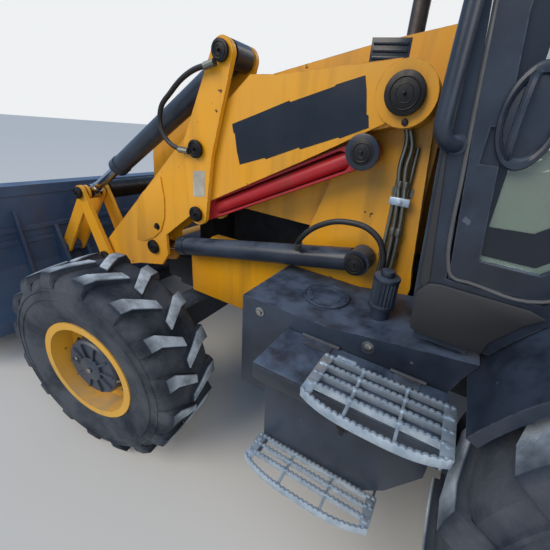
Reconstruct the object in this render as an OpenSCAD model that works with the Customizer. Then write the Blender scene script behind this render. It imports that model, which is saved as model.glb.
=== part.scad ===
// Backhoe loader: the whole machine, parked, with its loader arms low and its digging arm folded.
// Millimetres. +X forward, +Y to the left, +Z up. The origin is under the middle of the machine.
// Pin places are [along, up]: along is measured forward from the rear axle, up from the ground.

/* [Chassis] */
// Rear axle, along the machine from the origin
rear_axle_x = -805; // [-1000:10:-500]
// Distance between the two axles
wheelbase = 2170; // [2150:5:2190]
// Inner face of a frame rail, out from the centre line
rail_in = 300; // [260:5:320]
// Thickness of a frame rail
rail_t = 95; // [60:5:95]
// Underside of the rails between the axles
rail_low = 600; // [595:5:640]
// Top of the rails behind the engine
rail_high = 1000; // [960:5:1010]
// Radius of the bore for a towing pin in the nose
tow_bore_r = 20; // [10:1:30]

/* [Wheels] */
// Radius of a front tyre at its lugs' tips
front_tyre_r = 485; // [450:5:490]
// Width of a front tyre
front_tyre_w = 310; // [260:5:315]
// Middle of a front wheel, out from the centre line
front_wheel_y = 940; // [930:5:960]
// Radius of a front rim's seat
front_rim_r = 229; // [200:1:240]
// Radius of a rear tyre at its lugs' tips
rear_tyre_r = 715; // [690:5:718]
// Width of a rear tyre
rear_tyre_w = 430; // [380:5:434]
// Middle of a rear wheel, out from the centre line
rear_wheel_y = 905; // [900:5:930]
// Radius of a rear rim's seat
rear_rim_r = 356; // [300:1:380]
// Height of a lug over the tyre's carcass
lug_h = 30; // [15:1:40]
// Lugs round one side of a front tyre
front_lugs = 16; // [12:1:22]
// Lugs round one side of a rear tyre
rear_lugs = 16; // [12:1:24]
// Turn of the front wheels to the left, as parked
rest_steer = 6; // [0:1:8]
// Steering pivot, out from the centre line
kingpin_y = 770; // [765:1:775]

/* [Loader pins] */
// Loader arm pivot on the tower
arm_pin = [1097, 1717]; // [1:1:4000]
// Levelling link pivot on the tower
link_pin = [1201, 1536]; // [1:1:4000]
// Lift ram's base on the tower
lift_base = [1157, 1130]; // [1:1:4000]
// Lift ram's rod on the arm
lift_rod_pin = [2308, 890]; // [1:1:4000]
// Levelling lever pivot on the arm
lever_pin = [1930, 1453]; // [1:1:4000]
// Top of the levelling lever, base of the crowd ram
crowd_base = [1789, 1812]; // [1:1:4000]
// Foot of the levelling lever, end of the levelling link
lever_foot = [1943, 1163]; // [1:1:4000]
// Shovel hinge at the arm's nose
shovel_pin = [3067, 275]; // [1:1:4000]
// Shovel's upper pin for the tipping link, from its hinge
shovel_ear = [163, 365]; // [1:1:400]
// Top of the tipping lever, end of the crowd ram
tip_pin = [2885, 1085]; // [1:1:4000]

/* [Loader plates] */
// Inner face of a loader arm, out from the centre line
arm_in = 450; // [447:1:455]
// Width of a loader arm
arm_w = 105; // [95:1:108]
// Thickness of an arm's side plates
arm_plate = 14; // [8:1:16]
// Gap between an arm and the levers on it
side_gap = 7; // [6:1:9]
// Thickness of the levers' plates
lever_plate = 20; // [12:1:21]
// Thickness of a tower plate
tower_t = 45; // [30:1:45]
// Radius of the loader's main pins
pin_r = 30; // [20:1:36]
// Radius of the tubes that tie the shovel's linkage across the machine
tie_r = 80; // [75:1:85]
// Radius of a lift ram's barrel
lift_r = 48; // [40:1:49]
// Radius of a crowd ram's barrel
crowd_r = 46; // [38:1:48]
// Radius of the rams' rods
rod_r = 25; // [16:1:30]

/* [Shovel] */
// Width of the front shovel
shovel_w = 2350; // [2100:10:2500]
// Reach of the shovel's lip in front of its hinge
shovel_reach = 700; // [600:10:900]
// Depth of the shovel's floor below its hinge
shovel_drop = 165; // [150:5:200]
// Height of the shovel's top edge over its hinge
shovel_rise = 790; // [600:10:800]
// Thickness of the shovel's plates
shovel_plate = 14; // [8:1:25]
// Radius of the bolt holes in the cutting edge
edge_hole_r = 10; // [6:1:12]

/* [Cab] */
// Outer face of the cab's sides, out from the centre line
cab_side = 785; // [760:1:800]
// Front face of the cab
cab_front = 965; // [940:1:975]
// Rear face of the cab
cab_rear = -560; // [-620:5:-500]
// Cab floor
cab_floor = 1080; // [1070:1:1100]
// Underside of the roof
roof_low = 2760; // [2600:10:2800]
// Thickness of the roof
roof_t = 110; // [60:5:160]
// Thickness of the cab's walls and doors
cab_t = 40; // [25:1:45]
// Thickness of the glass
glass_t = 6; // [4:1:8]
// Gap round a door
door_gap = 6; // [5:1:10]

/* [Bonnet] */
// Half of the bonnet's width
bonnet_half = 383; // [340:1:385]
// Thickness of the bonnet's panels
bonnet_t = 6; // [3:1:10]
// Front of the bonnet's grille
bonnet_front = 2485; // [2400:5:2490]
// Bars in the grille
grille_bars = 9; // [5:1:14]

/* [Tanks and steps] */
// Top of the deck beside the tower
deck_top = 985; // [960:1:985]
// Outer face of the side tanks
tank_out = 800; // [760:5:820]
// Outer face of the toolboxes
box_out = 1000; // [960:5:1040]
// Top of the upper tread
upper_tread = 950; // [940:1:970]
// Top of the lower tread
lower_tread = 515; // [460:5:520]
// Height of a tread's bars
tread_h = 28; // [18:1:40]

/* [Digging arm pins] */
// Slew axis of the digging arm
slew_x = -1360; // [-1380:1:-1350]
// Boom's foot on the kingpost
boom_foot = [-1540, 660]; // [-4000:1:4000]
// Boom's top, where the dipper hangs
boom_top = [-1180, 3290]; // [-4000:1:4000]
// Boom ram's base on the kingpost
boom_ram_base = [-1306, 960]; // [-4000:1:4000]
// Boom ram's rod on the boom
boom_ram_pin = [-1345, 1895]; // [-4000:1:4000]
// Dipper ram's base on the boom
dipper_ram_base = [-1290, 2150]; // [-4000:1:4000]
// Dipper ram's rod on the dipper's heel
dipper_heel = [-880, 3510]; // [-4000:1:4000]
// Bucket's hinge at the dipper's end
bucket_pin = [-1850, 1640]; // [-4000:1:4000]
// Bucket lever's pivot on the dipper
bucket_lever_pin = [-1805, 1937]; // [-4000:1:4000]
// Bucket ram's rod on the bucket lever
bucket_ram_pin = [-2074, 1885]; // [-4000:1:4000]
// Bucket link's pin on the bucket
bucket_ear = [-2049, 1547]; // [-4000:1:4000]
// Bucket ram's base on the dipper
bucket_ram_base = [-1650, 2985]; // [-4000:1:4000]
// Half of the boom's width
boom_half = 120; // [110:1:124]
// Half of the dipper's width
dipper_half = 72; // [60:1:76]
// Width of the digging bucket
bucket_w = 480; // [300:10:500]
// Teeth on the digging bucket
bucket_teeth = 4; // [3:1:5]

/* [Stabilisers] */
// Middle of a stabiliser leg, out from the centre line
leg_y = 1040; // [1030:5:1050]
// Width of a stabiliser's outer tube
leg_tube = 120; // [110:1:130]
// Width of the foot plate
foot_w = 300; // [200:10:340]
// Half of the rear frame's rails' height
frame_rail = 45; // [30:1:45]

/* [Fits] */
// Clearance of a pin in its bore
pin_fit = 0.1; // [0.05:0.01:0.2]
// Clearance of a rod in its barrel
rod_fit = 1; // [0.5:0.1:2]
// Gap between still pieces that lie side by side
seat_gap = 0.3; // [0.1:0.1:0.5]

/* [Hidden] */
$fn = 48;
lug_yellow = "orange";
axle_z = front_tyre_r;
rear_z = rear_tyre_r;
arm_out = arm_in + arm_w;
arm_mid = arm_in + arm_w / 2;
lever_in = [arm_in - side_gap - lever_plate, arm_in - side_gap];
lever_out = [arm_out + side_gap, arm_out + side_gap + lever_plate];
tower_out = rail_in + rail_t + tower_t;
ear_pin = shovel_pin + shovel_ear;
tip_lever_pin = tip_pin - shovel_ear;

// Shared shapes

module at_rear() { translate([rear_axle_x, 0, 0]) children(); }

module both_sides() {
    children();
    mirror([0, 1, 0]) children();
}

// A plate whose outline lies along and up, between two places across
module plate(y0, y1) {
    translate([0, y1, 0]) rotate([90, 0, 0]) linear_extrude(y1 - y0) children();
}

// A round bar across the machine
module cross_bar(p, r, y0, y1) {
    translate([p[0], y1, p[1]]) rotate([90, 0, 0]) cylinder(r = r, h = y1 - y0);
}

function unit(v) = v / norm(v);
function side(v) = [-v[1], v[0]];

// Outline of a strap between two pins, with its own radius at each
module strap(a, b, ra, rb) {
    n = side(unit(b - a));
    translate(a) circle(r = ra);
    translate(b) circle(r = rb);
    polygon([a + n * ra, b + n * rb, b - n * rb, a - n * ra]);
}

// A block from its low corner to its high corner
module block(low, high) { translate(low) cube(high - low); }

// A round bar from one pin towards another, between two distances
module bar_along(a, b, y, r, d0, d1) {
    u = unit(b - a);
    translate([a[0] + u[0] * d0, y, a[1] + u[1] * d0])
        rotate([0, 90 - atan2(u[1], u[0]), 0]) cylinder(r = r, h = d1 - d0);
}

// A ram's barrel: an eye on its base pin, the tube, and a gland at the far end
module barrel(a, b, y, r, len, eye_r, hole_r, half, bore_r) {
    difference() {
        union() {
            bar_along(a, b, y, r, eye_r * 0.6, len - 40);
            bar_along(a, b, y, r + 4, len - 45, len);
            cross_bar(a, eye_r, y - half, y + half);
        }
        cross_bar(a, hole_r, y - half - 1, y + half + 1);
        bar_along(a, b, y, bore_r, eye_r + 5, len + 1);
    }
}

// A ram's rod with its eye, which reaches back into the barrel
module rod(a, b, y, r, inside, eye_r, half) {
    bar_along(b, a, y, r, 0, inside);
    bar_along(b, a, y, r + 5, eye_r * 0.6, eye_r + 25);
    cross_bar(b, eye_r, y - half, y + half);
}

// Chassis

// Front end of the chassis
nose = wheelbase + 230;

module rail_outline() {
    polygon([[-945, rail_low], [-430, rail_low], [-250, rear_z + 135], [250, rear_z + 135],
        [480, rail_low], [nose - 100, rail_low], [nose - 100, 780], [930, 780], [640, rail_high],
        [-945, rail_high]]);
}

module chassis_frame() color("dimgray") at_rear() {
    difference() {
        union() {
            both_sides() plate(rail_in, rail_in + rail_t) rail_outline();
            block([nose - 110, -rail_in - rail_t, rail_low + 30], [nose, rail_in + rail_t, 860]);
            block([nose - 110, -130, rail_low - 5], [nose + 40, 130, rail_low + 32]);
            for (x = [-900, 1320]) block([x, -rail_in - 1, 660], [x + 80, rail_in + 1, 740]);
            block([540, -rail_in - 1, 860], [620, rail_in + 1, 960]);
            for (x = [wheelbase - 120, wheelbase + 85])
                block([x, -150, axle_z - 70], [x + 35, 150, rail_low + 40]);
            for (x = [wheelbase - 120, wheelbase + 85])
                block([x, -rail_in - 1, rail_low + 20], [x + 35, rail_in + 1, rail_low + 120]);
        }
        translate([nose - 25, 0, rail_low - 20]) cylinder(r = tow_bore_r, h = 320);
        translate([wheelbase - 200, 0, axle_z]) rotate([0, 90, 0])
            cylinder(r = 40 + pin_fit, h = 400);
    }
}

module tower_outline() {
    polygon([[945, 1040], [958, 1124], [1010, 1657], [1007, 1740], [1187, 1740],
        [1300, 1570], [1420, 1200], [1520, 1010], [1990, 1000], [2150, 860],
        [2150, rail_low + 20], [1000, rail_low + 20]]);
    translate(arm_pin) circle(r = 92);
    strap(link_pin, link_pin + [-60, -150], 62, 90);
}

module loader_towers() color(lug_yellow) at_rear() {
    both_sides() {
        plate(rail_in + rail_t, tower_out) tower_outline();
        cross_bar(arm_pin, pin_r + 8, tower_out - 1, arm_out + 16);
        cross_bar(link_pin, pin_r, tower_out - 1, arm_out + 6);
        cross_bar(lift_base, pin_r, tower_out - 1, arm_out + 6);
    }
    cross_bar([1080, 1110], 38, -rail_in - rail_t - 1, rail_in + rail_t + 1);
}

module front_axle() color("dimgray") at_rear() {
    translate([wheelbase, 0, axle_z]) {
        difference() {
            union() {
                cube([150, 2 * (kingpin_y - 90), 150], center = true);
                translate([-125, 0, 0]) rotate([0, 90, 0]) cylinder(r = 40, h = 250);
                translate([-77, 60, 0]) rotate([0, 90, 0]) cylinder(r = 110, h = 154);
            }
            translate([-130, 0, 0]) rotate([0, 90, 0]) cylinder(r = 12, h = 260);
        }
        both_sides() yoke();
    }
}

// The fork at an end of the front axle, with the two stubs of its kingpin
module yoke() {
    y0 = kingpin_y - 92;
    for (z = [-1, 1]) {
        translate([-50, y0, z > 0 ? 92 : -122]) cube([100, kingpin_y - y0, 30]);
        translate([0, kingpin_y, z > 0 ? 92 : -122]) cylinder(r = 50, h = 30);
        translate([0, kingpin_y, z > 0 ? 40 : -93]) cylinder(r = 25, h = 53);
    }
    translate([-50, y0, -122]) cube([100, 20, 244]);
}

module knuckle() {
    spindle_end = front_wheel_y + 45;
    translate([wheelbase, 0, axle_z]) difference() {
        union() {
            translate([0, kingpin_y, -85]) cylinder(r = 58, h = 170);
            translate([0, kingpin_y, 0]) rotate([-90, 0, 0])
                cylinder(r = 45, h = spindle_end - kingpin_y);
            translate([0, kingpin_y + 62, 0]) rotate([-90, 0, 0]) cylinder(r = 110, h = 20);
            translate([0, kingpin_y + 40, 0]) rotate([-90, 0, 0]) cylinder(r = 75, h = 30);
        }
        translate([0, kingpin_y, -90]) cylinder(r = 25 + pin_fit, h = 180);
    }
}

module knuckle_left() color("dimgray") at_rear() steered(1) knuckle();
module knuckle_right() color("dimgray") at_rear() mirror([0, 1, 0]) steered(-1) knuckle();

module rear_axle() color("dimgray") at_rear() translate([0, 0, rear_z]) {
    translate([-130, -rail_in - 60, -130]) cube([260, 2 * rail_in + 120, 265]);
    rotate([90, 0, 0]) cylinder(r = 105, h = 1380, center = true);
    both_sides() {
        translate([0, 650, 0]) rotate([-90, 0, 0]) cylinder(r = 150, h = 40);
        translate([0, 680, 0]) rotate([-90, 0, 0]) cylinder(r = 60, h = 250);
    }
}

// Wheels, drawn about their own centre with the outside at +Y

// Half of a lug: a slanting bar from the middle of the tread to the shoulder
module lug(r, w, turn) {
    rotate([0, turn, 0]) translate([0, 0, r - 14]) linear_extrude(lug_h + 28, center = true)
        polygon([[-26, -10], [30, -10], [r * 0.15 + 30, w * 0.45], [r * 0.15 - 38, w * 0.45]]);
}

// A disc with n flat facets round the wheel's axis, for use inside hull()
module facet_disc(r, y0, y1, n) {
    rotate([90, 0, 0]) translate([0, 0, -y1]) linear_extrude(y1 - y0) circle(r = r, $fn = n);
}

// A tyre: a carcass with a facet under each lug, and two rows of lugs half a pitch apart
module tyre(r, w, seat_r, count) {
    tread_r = r - lug_h;
    lug_mid = sqrt(r * r - pow(r * 0.15 + 30, 2)) - lug_h / 2;
    bore_r = seat_r / cos(90 / count);
    n = 2 * count;
    difference() {
        hull() {
            facet_disc(tread_r - 64, -w * 0.49, w * 0.49, n);
            facet_disc(tread_r, -w * 0.34, w * 0.34, n);
        }
        hull() facet_disc(bore_r, -w, w, n);
        for (m = [0, 1]) mirror([0, m, 0]) hull() {
            facet_disc(bore_r + 24, w * 0.4 - 0.5, w * 0.4, n);
            facet_disc(tread_r - 90, w * 0.492, w * 0.6, n);
        }
    }
    for (i = [0 : count - 1]) {
        lug(lug_mid, w, (i + 0.25) * 360 / count);
        mirror([0, 1, 0]) lug(lug_mid, w, (i + 0.75) * 360 / count);
    }
}

// A rim: its barrel with two flanges, the dish and the hub's housing
module rim(seat_r, w, dish, hub_r, spindle_r, spindle_in) {
    b = w * 0.4 + 1;
    rotate([-90, 0, 0]) {
        difference() {
            union() {
                rotate_extrude() polygon([[seat_r - 12, -b - 14], [seat_r + 22, -b - 14],
                    [seat_r + 22, -b], [seat_r - seat_gap, -b], [seat_r - seat_gap, b],
                    [seat_r + 22, b], [seat_r + 22, b + 14], [seat_r - 12, b + 14]]);
                translate([0, 0, dish - 12]) cylinder(r = seat_r - 11, h = 12);
                translate([0, 0, spindle_in]) cylinder(r = hub_r, h = dish + 62 - spindle_in);
            }
            translate([0, 0, spindle_in - 1])
                cylinder(r = spindle_r + pin_fit, h = dish + 26 - spindle_in);
        }
    }
}

// Turned about the steering pivot; turn is -1 on the mirrored side, where left is the other way
module steered(turn) {
    translate([wheelbase, kingpin_y, axle_z]) rotate([0, 0, turn * rest_steer])
        translate([-wheelbase, -kingpin_y, -axle_z]) children();
}

module front_wheel_at(turn) at_rear() steered(turn)
    translate([wheelbase, front_wheel_y, axle_z]) children();
module rear_wheel_at() at_rear() translate([0, rear_wheel_y, rear_z]) children();

module front_tyre(turn) front_wheel_at(turn) tyre(front_tyre_r, front_tyre_w, front_rim_r, front_lugs);
module rear_tyre() rear_wheel_at() tyre(rear_tyre_r, rear_tyre_w, rear_rim_r, rear_lugs);
module front_rim(turn) front_wheel_at(turn) rim(front_rim_r, front_tyre_w, 45, 135, 45, -60);
module rear_rim() rear_wheel_at() rim(rear_rim_r, rear_tyre_w, 20, 140, 60, -120);

module front_tyre_left() color("gray") front_tyre(1);
module front_tyre_right() color("gray") mirror([0, 1, 0]) front_tyre(-1);
module front_rim_left() color("gold") front_rim(1);
module front_rim_right() color("gold") mirror([0, 1, 0]) front_rim(-1);
module rear_tyre_left() color("gray") rear_tyre();
module rear_tyre_right() color("gray") mirror([0, 1, 0]) rear_tyre();
module rear_rim_left() color("gold") rear_rim();
module rear_rim_right() color("gold") mirror([0, 1, 0]) rear_rim();

// Engine and exhaust

module engine_block() color("slategray") at_rear() {
    block([1250, -250, 800], [2000, 250, 1500]);
    block([2120, -300, 850], [2220, 300, 1500]);
    block([880, -180, 560], [1251, 180, 980]);
    for (x = [1320, 1800, 2130]) block([x, -350, 780 + seat_gap], [x + 80, 350, 851]);
    translate([130.3, 0, 690]) rotate([0, 90, 0]) cylinder(r = 36, h = 749.4);
    translate([1251.3, 60, 610]) rotate([0, 90, 0]) cylinder(r = 30, h = 798.4);
}

exhaust_at = [1300, 63 - bonnet_half];

module exhaust_stack() color("rosybrown") at_rear() {
    translate([exhaust_at[0], exhaust_at[1], 1300]) {
        cylinder(r = 44, h = 1180);
        translate([0, 0, 100]) cylinder(r = 50, h = 560);
    }
    translate([exhaust_at[0], -250.3, 1340]) rotate([90, 0, 0])
        cylinder(r = 28, h = -exhaust_at[1] - 250.3);
}

// Bonnet with its grille

bonnet_hinge = [1000, 1930];

module bonnet_outline(t) {
    polygon([[985 + t, 1180], [985 + t, 1948 - t], [1240, 1896 - t], [1620, 1798 - t],
        [2020, 1690 - t], [2280, 1600 - t], [2410 - t, 1520 - t],
        [bonnet_front - 22 - t, 1440], [bonnet_front - t, 1150], [bonnet_front - t, 1100],
        [2150, 1100], [2150, 1180]]);
}

module bonnet() color(lug_yellow) at_rear() {
    difference() {
        plate(-bonnet_half, bonnet_half) bonnet_outline(0);
        difference() {
            translate([0, 0, -1])
                plate(-bonnet_half + bonnet_t, bonnet_half - bonnet_t) bonnet_outline(bonnet_t);
            block([2100, -bonnet_half, 1000], [2600, bonnet_half, 1090]);
        }
        block([900, -bonnet_half + bonnet_t, 1000], [2400, bonnet_half - bonnet_t, 1190]);
        block([exhaust_at[0] - 60, -bonnet_half + bonnet_t, 1480],
            [exhaust_at[0] + 256, -262, 2000]);
        block([bonnet_front - 60, -300, 1150], [bonnet_front + 10, 300, 1400]);
        block([960, -bonnet_half + bonnet_t, 1100], [1000, bonnet_half - bonnet_t, 1941]);
        for (y = [-217, 195]) block([980, y, 1860], [1014, y + 22, 1960]);
    }
    both_sides() difference() {
        cross_bar(bonnet_hinge, 16, 218, 262);
        cross_bar(bonnet_hinge, 8 + pin_fit, 200, 280);
    }
    for (i = [0 : grille_bars - 1])
        block([bonnet_front - 30, -302, 1156 + i * 240 / (grille_bars - 1)],
            [bonnet_front - 24, 302, 1168 + i * 220 / (grille_bars - 1)]);
    for (y = [-302, -4, 294]) block([bonnet_front - 32, y, 1145], [bonnet_front - 22, y + 8, 1405]);
}

// Cab

fender_r = rear_tyre_r + 53;
front_edge = [[893, 1060], [911, 1203], [965, 1860], [965, 1900]];
side_outline = [[965, 1900], [965, 1860], [911, 1203], [895, 1080], [-560, 1080],
    [-560, 2760], [905, 2760]];
door_outline = [[842, 1262], [618, 1262], [520, 1360], [404, 1442], [205, 1530],
    [55, 1530], [55, 2720], [868, 2720], [920, 1880]];

// An outline drawn in by a margin towards its own middle
module inset(margin) { offset(delta = -margin) children(); }

rail_x = 947;

// Door's hinge: its pin, and the height and bottoms of the eyes on the pillar
door_pin = [65, cab_side + 6];
door_eye_h = 45;
door_eyes = [1640, 2560];

// A strip that follows the cab's front edge, between two distances behind it
module front_strip(x0, x1) {
    polygon(concat([for (p = front_edge) p + [x0, 0]],
        [for (i = [3 : -1 : 0]) front_edge[i] + [x1, 0]]));
}

module cab_frame() color("#1c1c1e") at_rear() {
    both_sides() plate(cab_side - cab_t, cab_side) difference() {
        polygon(side_outline);
        translate([0, rear_z]) circle(r = fender_r + 4, $fn = 96);
        polygon([[-561, 1070], [200, 1070], [200, 1506], [-561, 1506]]);
        polygon(door_outline);
        polygon([[-20, 1600], [-480, 1600], [-480, 2690], [-20, 2690]]);
    }
    difference() {
        plate(-cab_side + cab_t, cab_side - cab_t) front_strip(0, -cab_t);
        block([800, -300, cab_floor + 100], [1000, 300, 1560]);
    }
    both_sides() plate(cab_side - cab_t - 60, cab_side - cab_t)
        polygon([[965, 1900], [925, 1900], [868, 2760], [905, 2760]]);
    difference() {
        block([cab_rear, -cab_side + cab_t, 1506], [cab_rear + cab_t, cab_side - cab_t, roof_low]);
        block([cab_rear - 1, -650, 1600], [cab_rear + cab_t + 1, 650, 2690]);
    }
    block([cab_rear, -670, cab_floor - 20], [880, 670, cab_floor]);
    both_sides() {
        block([cab_rear, 650, cab_floor - 1], [640, 670, 1506]);
        block([cab_rear, 650, 1495.3], [215, cab_side, 1506]);
        block([735, 669, cab_floor - 20], [880, cab_side, cab_floor]);
        for (x = [-470, 680]) block([x, 320, rail_high], [x + 90, 380, cab_floor - 19]);
    }
    block([cab_rear, -650, cab_floor - 1], [cab_rear + 20, 650, 1507]);
    both_sides() grab_rail();
    both_sides() for (z = door_eyes) difference() {
        union() {
            block([20, cab_side - 1, z], [56, cab_side + 12, z + door_eye_h]);
            cross_up(door_pin, 14, z, z + door_eye_h);
        }
        cross_up(door_pin, 8 + pin_fit, z - 1, z + door_eye_h + 1);
    }
    both_sides() {
        block([cab_front - 1, 198, 1876], [1008, 214, 1938]);
        cross_bar(bonnet_hinge, 8, 213, 264);
    }
}

// A round grab rail beside the windscreen, bent in to the pillar at both ends, with a mirror
module grab_rail() {
    bend = 45;
    low = 1640;
    high = 2440;
    translate([rail_x, cab_side + 45, 0]) {
        rotate([0, 0, -130]) {
            translate([0, 0, low]) cylinder(r = 19, h = high - low);
            for (e = [[low, 180, -bend], [high, 90, bend]]) {
                translate([bend, 0, e[0]]) rotate([90, 0, 0]) rotate([0, 0, e[1]])
                    rotate_extrude(angle = 90) translate([bend, 0]) circle(r = 19);
                translate([bend, 0, e[0] + e[2]]) rotate([0, 90, 0]) cylinder(r = 19, h = 16);
            }
        }
        translate([0, 130, 2200]) cube([24, 180, 280]);
        translate([12, 140, 2320]) rotate([90, 0, 0]) cylinder(r = 10, h = 140);
    }
    for (z = [low - bend, high + bend])
        cross_bar([rail_x - 39, z], 22, cab_side - 1, cab_side + 8);
}

module cab_roof() color("#222222") at_rear() {
    block([cab_rear - 60, -cab_side - 10, roof_low + seat_gap],
        [cab_front + 40, cab_side + 10, roof_low + roof_t]);
    for (y = [-640, -400, 400, 640]) for (x = [cab_front + 39, cab_rear - 109])
        block([x, y - 70, roof_low + 15], [x + 50, y + 70, roof_low + 95]);
    translate([250, -560, roof_low + roof_t - 1]) cylinder(r = 60, h = 30);
}

// A pane in an opening that it clears by the seating gap
module pane(x, y0, y1, z0, z1) {
    block([x, y0 + seat_gap, z0 + seat_gap], [x + glass_t, y1 - seat_gap, z1 - seat_gap]);
}

module cab_glass() color("darkseagreen") at_rear() {
    both_sides() plate(cab_side - 25, cab_side - 25 + glass_t)
        polygon([[-20.3, 1600.3], [-479.7, 1600.3], [-479.7, 2689.7], [-20.3, 2689.7]]);
    pane(cab_rear + 17, -650, 650, 1600, 2690);
    translate([0, -(cab_side - cab_t - 60.3), 0]) plate(0, 2 * (cab_side - cab_t - 60.3))
        polygon([[955, 1900.3], [949, 1900.3], [893, 2759.7], [899, 2759.7]]);
    intersection() {
        plate(-300 + seat_gap, 300 - seat_gap) front_strip(-17, -17 - glass_t);
        block([800, -400, cab_floor + 100 + seat_gap], [1000, 400, 1560 - seat_gap]);
    }
}

module door() {
    difference() {
        plate(cab_side - cab_t, cab_side) inset(door_gap) polygon(door_outline);
        plate(cab_side - cab_t - 1, cab_side + 1) door_window(0);
        block([730, cab_side - 12, 1560], [850, cab_side + 1, 1640]);
        for (z = door_eyes)
            block([54, cab_side - 15, z - 6], [85, cab_side + 1, z + door_eye_h + 6]);
    }
    cross_up(door_pin, 8, 1545, 2700);
}

module door_window(gap) {
    inset(70 + gap) polygon(door_outline);
}

// A round bar upright
module cross_up(p, r, z0, z1) { translate([p[0], p[1], z0]) cylinder(r = r, h = z1 - z0); }

module door_left() color("#202022") at_rear() door();
module door_right() color("#202022") at_rear() mirror([0, 1, 0]) door();

module door_pane() { plate(cab_side - 25, cab_side - 25 + glass_t) door_window(seat_gap); }

module door_glass_left() color("darkseagreen") at_rear() door_pane();
module door_glass_right() color("darkseagreen") at_rear() mirror([0, 1, 0]) door_pane();

module cab_interior() color("#303032") at_rear() {
    block([740, -120, cab_floor + seat_gap], [846, 120, 1470]);
    translate([808, 0, 1460]) rotate([0, -25, 0]) {
        cylinder(r = 28, h = 205);
        translate([0, 0, 200]) difference() {
            cylinder(r = 150, h = 26);
            translate([0, 0, -1]) cylinder(r = 127, h = 28);
        }
        translate([-132, -15, 202]) cube([264, 30, 16]);
    }
    both_sides() block([-380, 470, cab_floor + seat_gap], [420, 640, 1600]);
    both_sides() translate([330, 560, 1599]) cylinder(r = 16, h = 190);
}

module seat() color("#2a2a2c") at_rear() {
    translate([160, 0, cab_floor + seat_gap]) cylinder(r = 110, h = 330);
    block([-90, -240, 1400], [400, 240, 1510]);
    block([-165, -225, 1500], [-80, 225, 2080]);
}

// Fenders, tanks and steps

module rear_fenders() color("#1e1e20") at_rear() both_sides() {
    plate(670 + seat_gap, 1020) fender_arc(fender_r - 10, fender_r);
    plate(1008, 1020) fender_arc(fender_r - 30, fender_r - 9);
}

module fender_arc(r0, r1) {
    translate([0, rear_z]) intersection() {
        difference() {
            circle(r = r1, $fn = 96);
            circle(r = r0, $fn = 96);
        }
        polygon([[0, 0], [1500, 606], [1500, 1500], [-1500, 1500], [-1500, 300]]);
    }
}

module side_tanks() color("#1f1f22") at_rear() both_sides() {
    difference() {
        plate(tower_out + 6, tank_out) polygon([[700, 560], [1500, 560], [1500, deck_top],
            [1150, deck_top], [905, deck_top + 36], [640, deck_top + 72], [640, 800]]);
        cross_bar([0, rear_z], fender_r + 2, tower_out, tank_out + 1);
    }
    for (z = [660, 900])
        block([1100, tower_out + seat_gap, z - 20], [1180, tower_out + 7, z + 20]);
    translate([1231, 620, deck_top - 1]) cylinder(r = 90, h = 9);
    translate([1010, 660, deck_top - 1]) cylinder(r = 34, h = 90);
}

module box_outline() {
    polygon([[742, 905], [742, 700], [830, 560], [900, 500], [1290, 500], [1300, 905]]);
}

// A tread: bars along it, straps across, and a front plate whose middle is bowed out
module tread(x0, x1, y0, y1, top, bars) {
    w = (y1 - y0) / bars;
    bow = 32;
    for (i = [0 : bars - 1]) block([x0, y0 + i * w, top - tread_h], [x1, y0 + i * w + 9, top]);
    for (x = [x0, (2 * x0 + x1) / 3, (x0 + 2 * x1) / 3, x1 - 8])
        block([x, y0, top - tread_h], [x + 8, y1 + (x > x0 && x < x1 - 8 ? bow - 6 : 0), top - 6]);
    for (e = [[x0, x0 + 50, y1, y1 + 21], [x0 + 50, x0 + 110, y1 + 21, y1 + bow],
            [x0 + 110, x1 - 110, y1 + bow, y1 + bow],
            [x1 - 110, x1 - 50, y1 + bow, y1 + 21], [x1 - 50, x1, y1 + 21, y1]])
        translate([0, 0, top - 32]) linear_extrude(32)
            polygon([[e[0], e[2] - 7], [e[1], e[3] - 7], [e[1], e[3]], [e[0], e[2]]]);
}

module toolboxes() color("#242427") at_rear() both_sides() {
    plate(tank_out, box_out - 70) box_outline();
    plate(box_out - 71, box_out) polygon([[742, 905], [742, 850], [1300, 850], [1300, 905]]);
    tread(843, 1300, box_out - 68, box_out + 30, lower_tread, 3);
    for (x = [850, 1262]) block([x, box_out - 90, lower_tread - 20], [x + 8, box_out - 10, lower_tread - 4]);
}

module lid() {
    block([735, tank_out + 3, 908], [1295, box_out + 12, 922.5]);
    block([735, box_out + 3, 860], [1295, box_out + 12, 909]);
    for (x = [790, 1180]) translate([x, tank_out + 8 + seat_gap, 924]) rotate([0, 90, 0])
        cylinder(r = 8, h = 70);
    tread(720, 1112, tank_out + 80, box_out + 45, upper_tread, 4);
}

module toolbox_lid() color("silver") at_rear() lid();

// Hoses and pipes along the tower

module loader_pipes() color("gray") at_rear() both_sides() {
    for (i = [0 : 2]) translate([1040 + i * 22, tower_out + 12, deck_top + 25])
        cylinder(r = 8, h = 560 + i * 20);
    for (z = [1150, 1400]) block([1022, tower_out, z], [1100, tower_out + 5, z + 30]);
}

// Loader

module arm_outline() {
    n = side(unit(shovel_pin - tip_lever_pin)) * 80;
    polygon([[1021, 1680], [1018, 1755], [1065, 1802], [1130, 1812], [1560, 1752],
        [1680, 1748], [1850, 1600], [1990, 1530], [2340, 1195], tip_lever_pin + n,
        shovel_pin + n, shovel_pin - n, tip_lever_pin - n, [2440, 750],
        [2255, 795], [2202, 870], [2202, 985], [2010, 1140], [1900, 1225],
        [1438, 1470], [1118, 1647]]);
    translate(shovel_pin) circle(r = 80);
    translate(lift_rod_pin) circle(r = 85);
}

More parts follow.
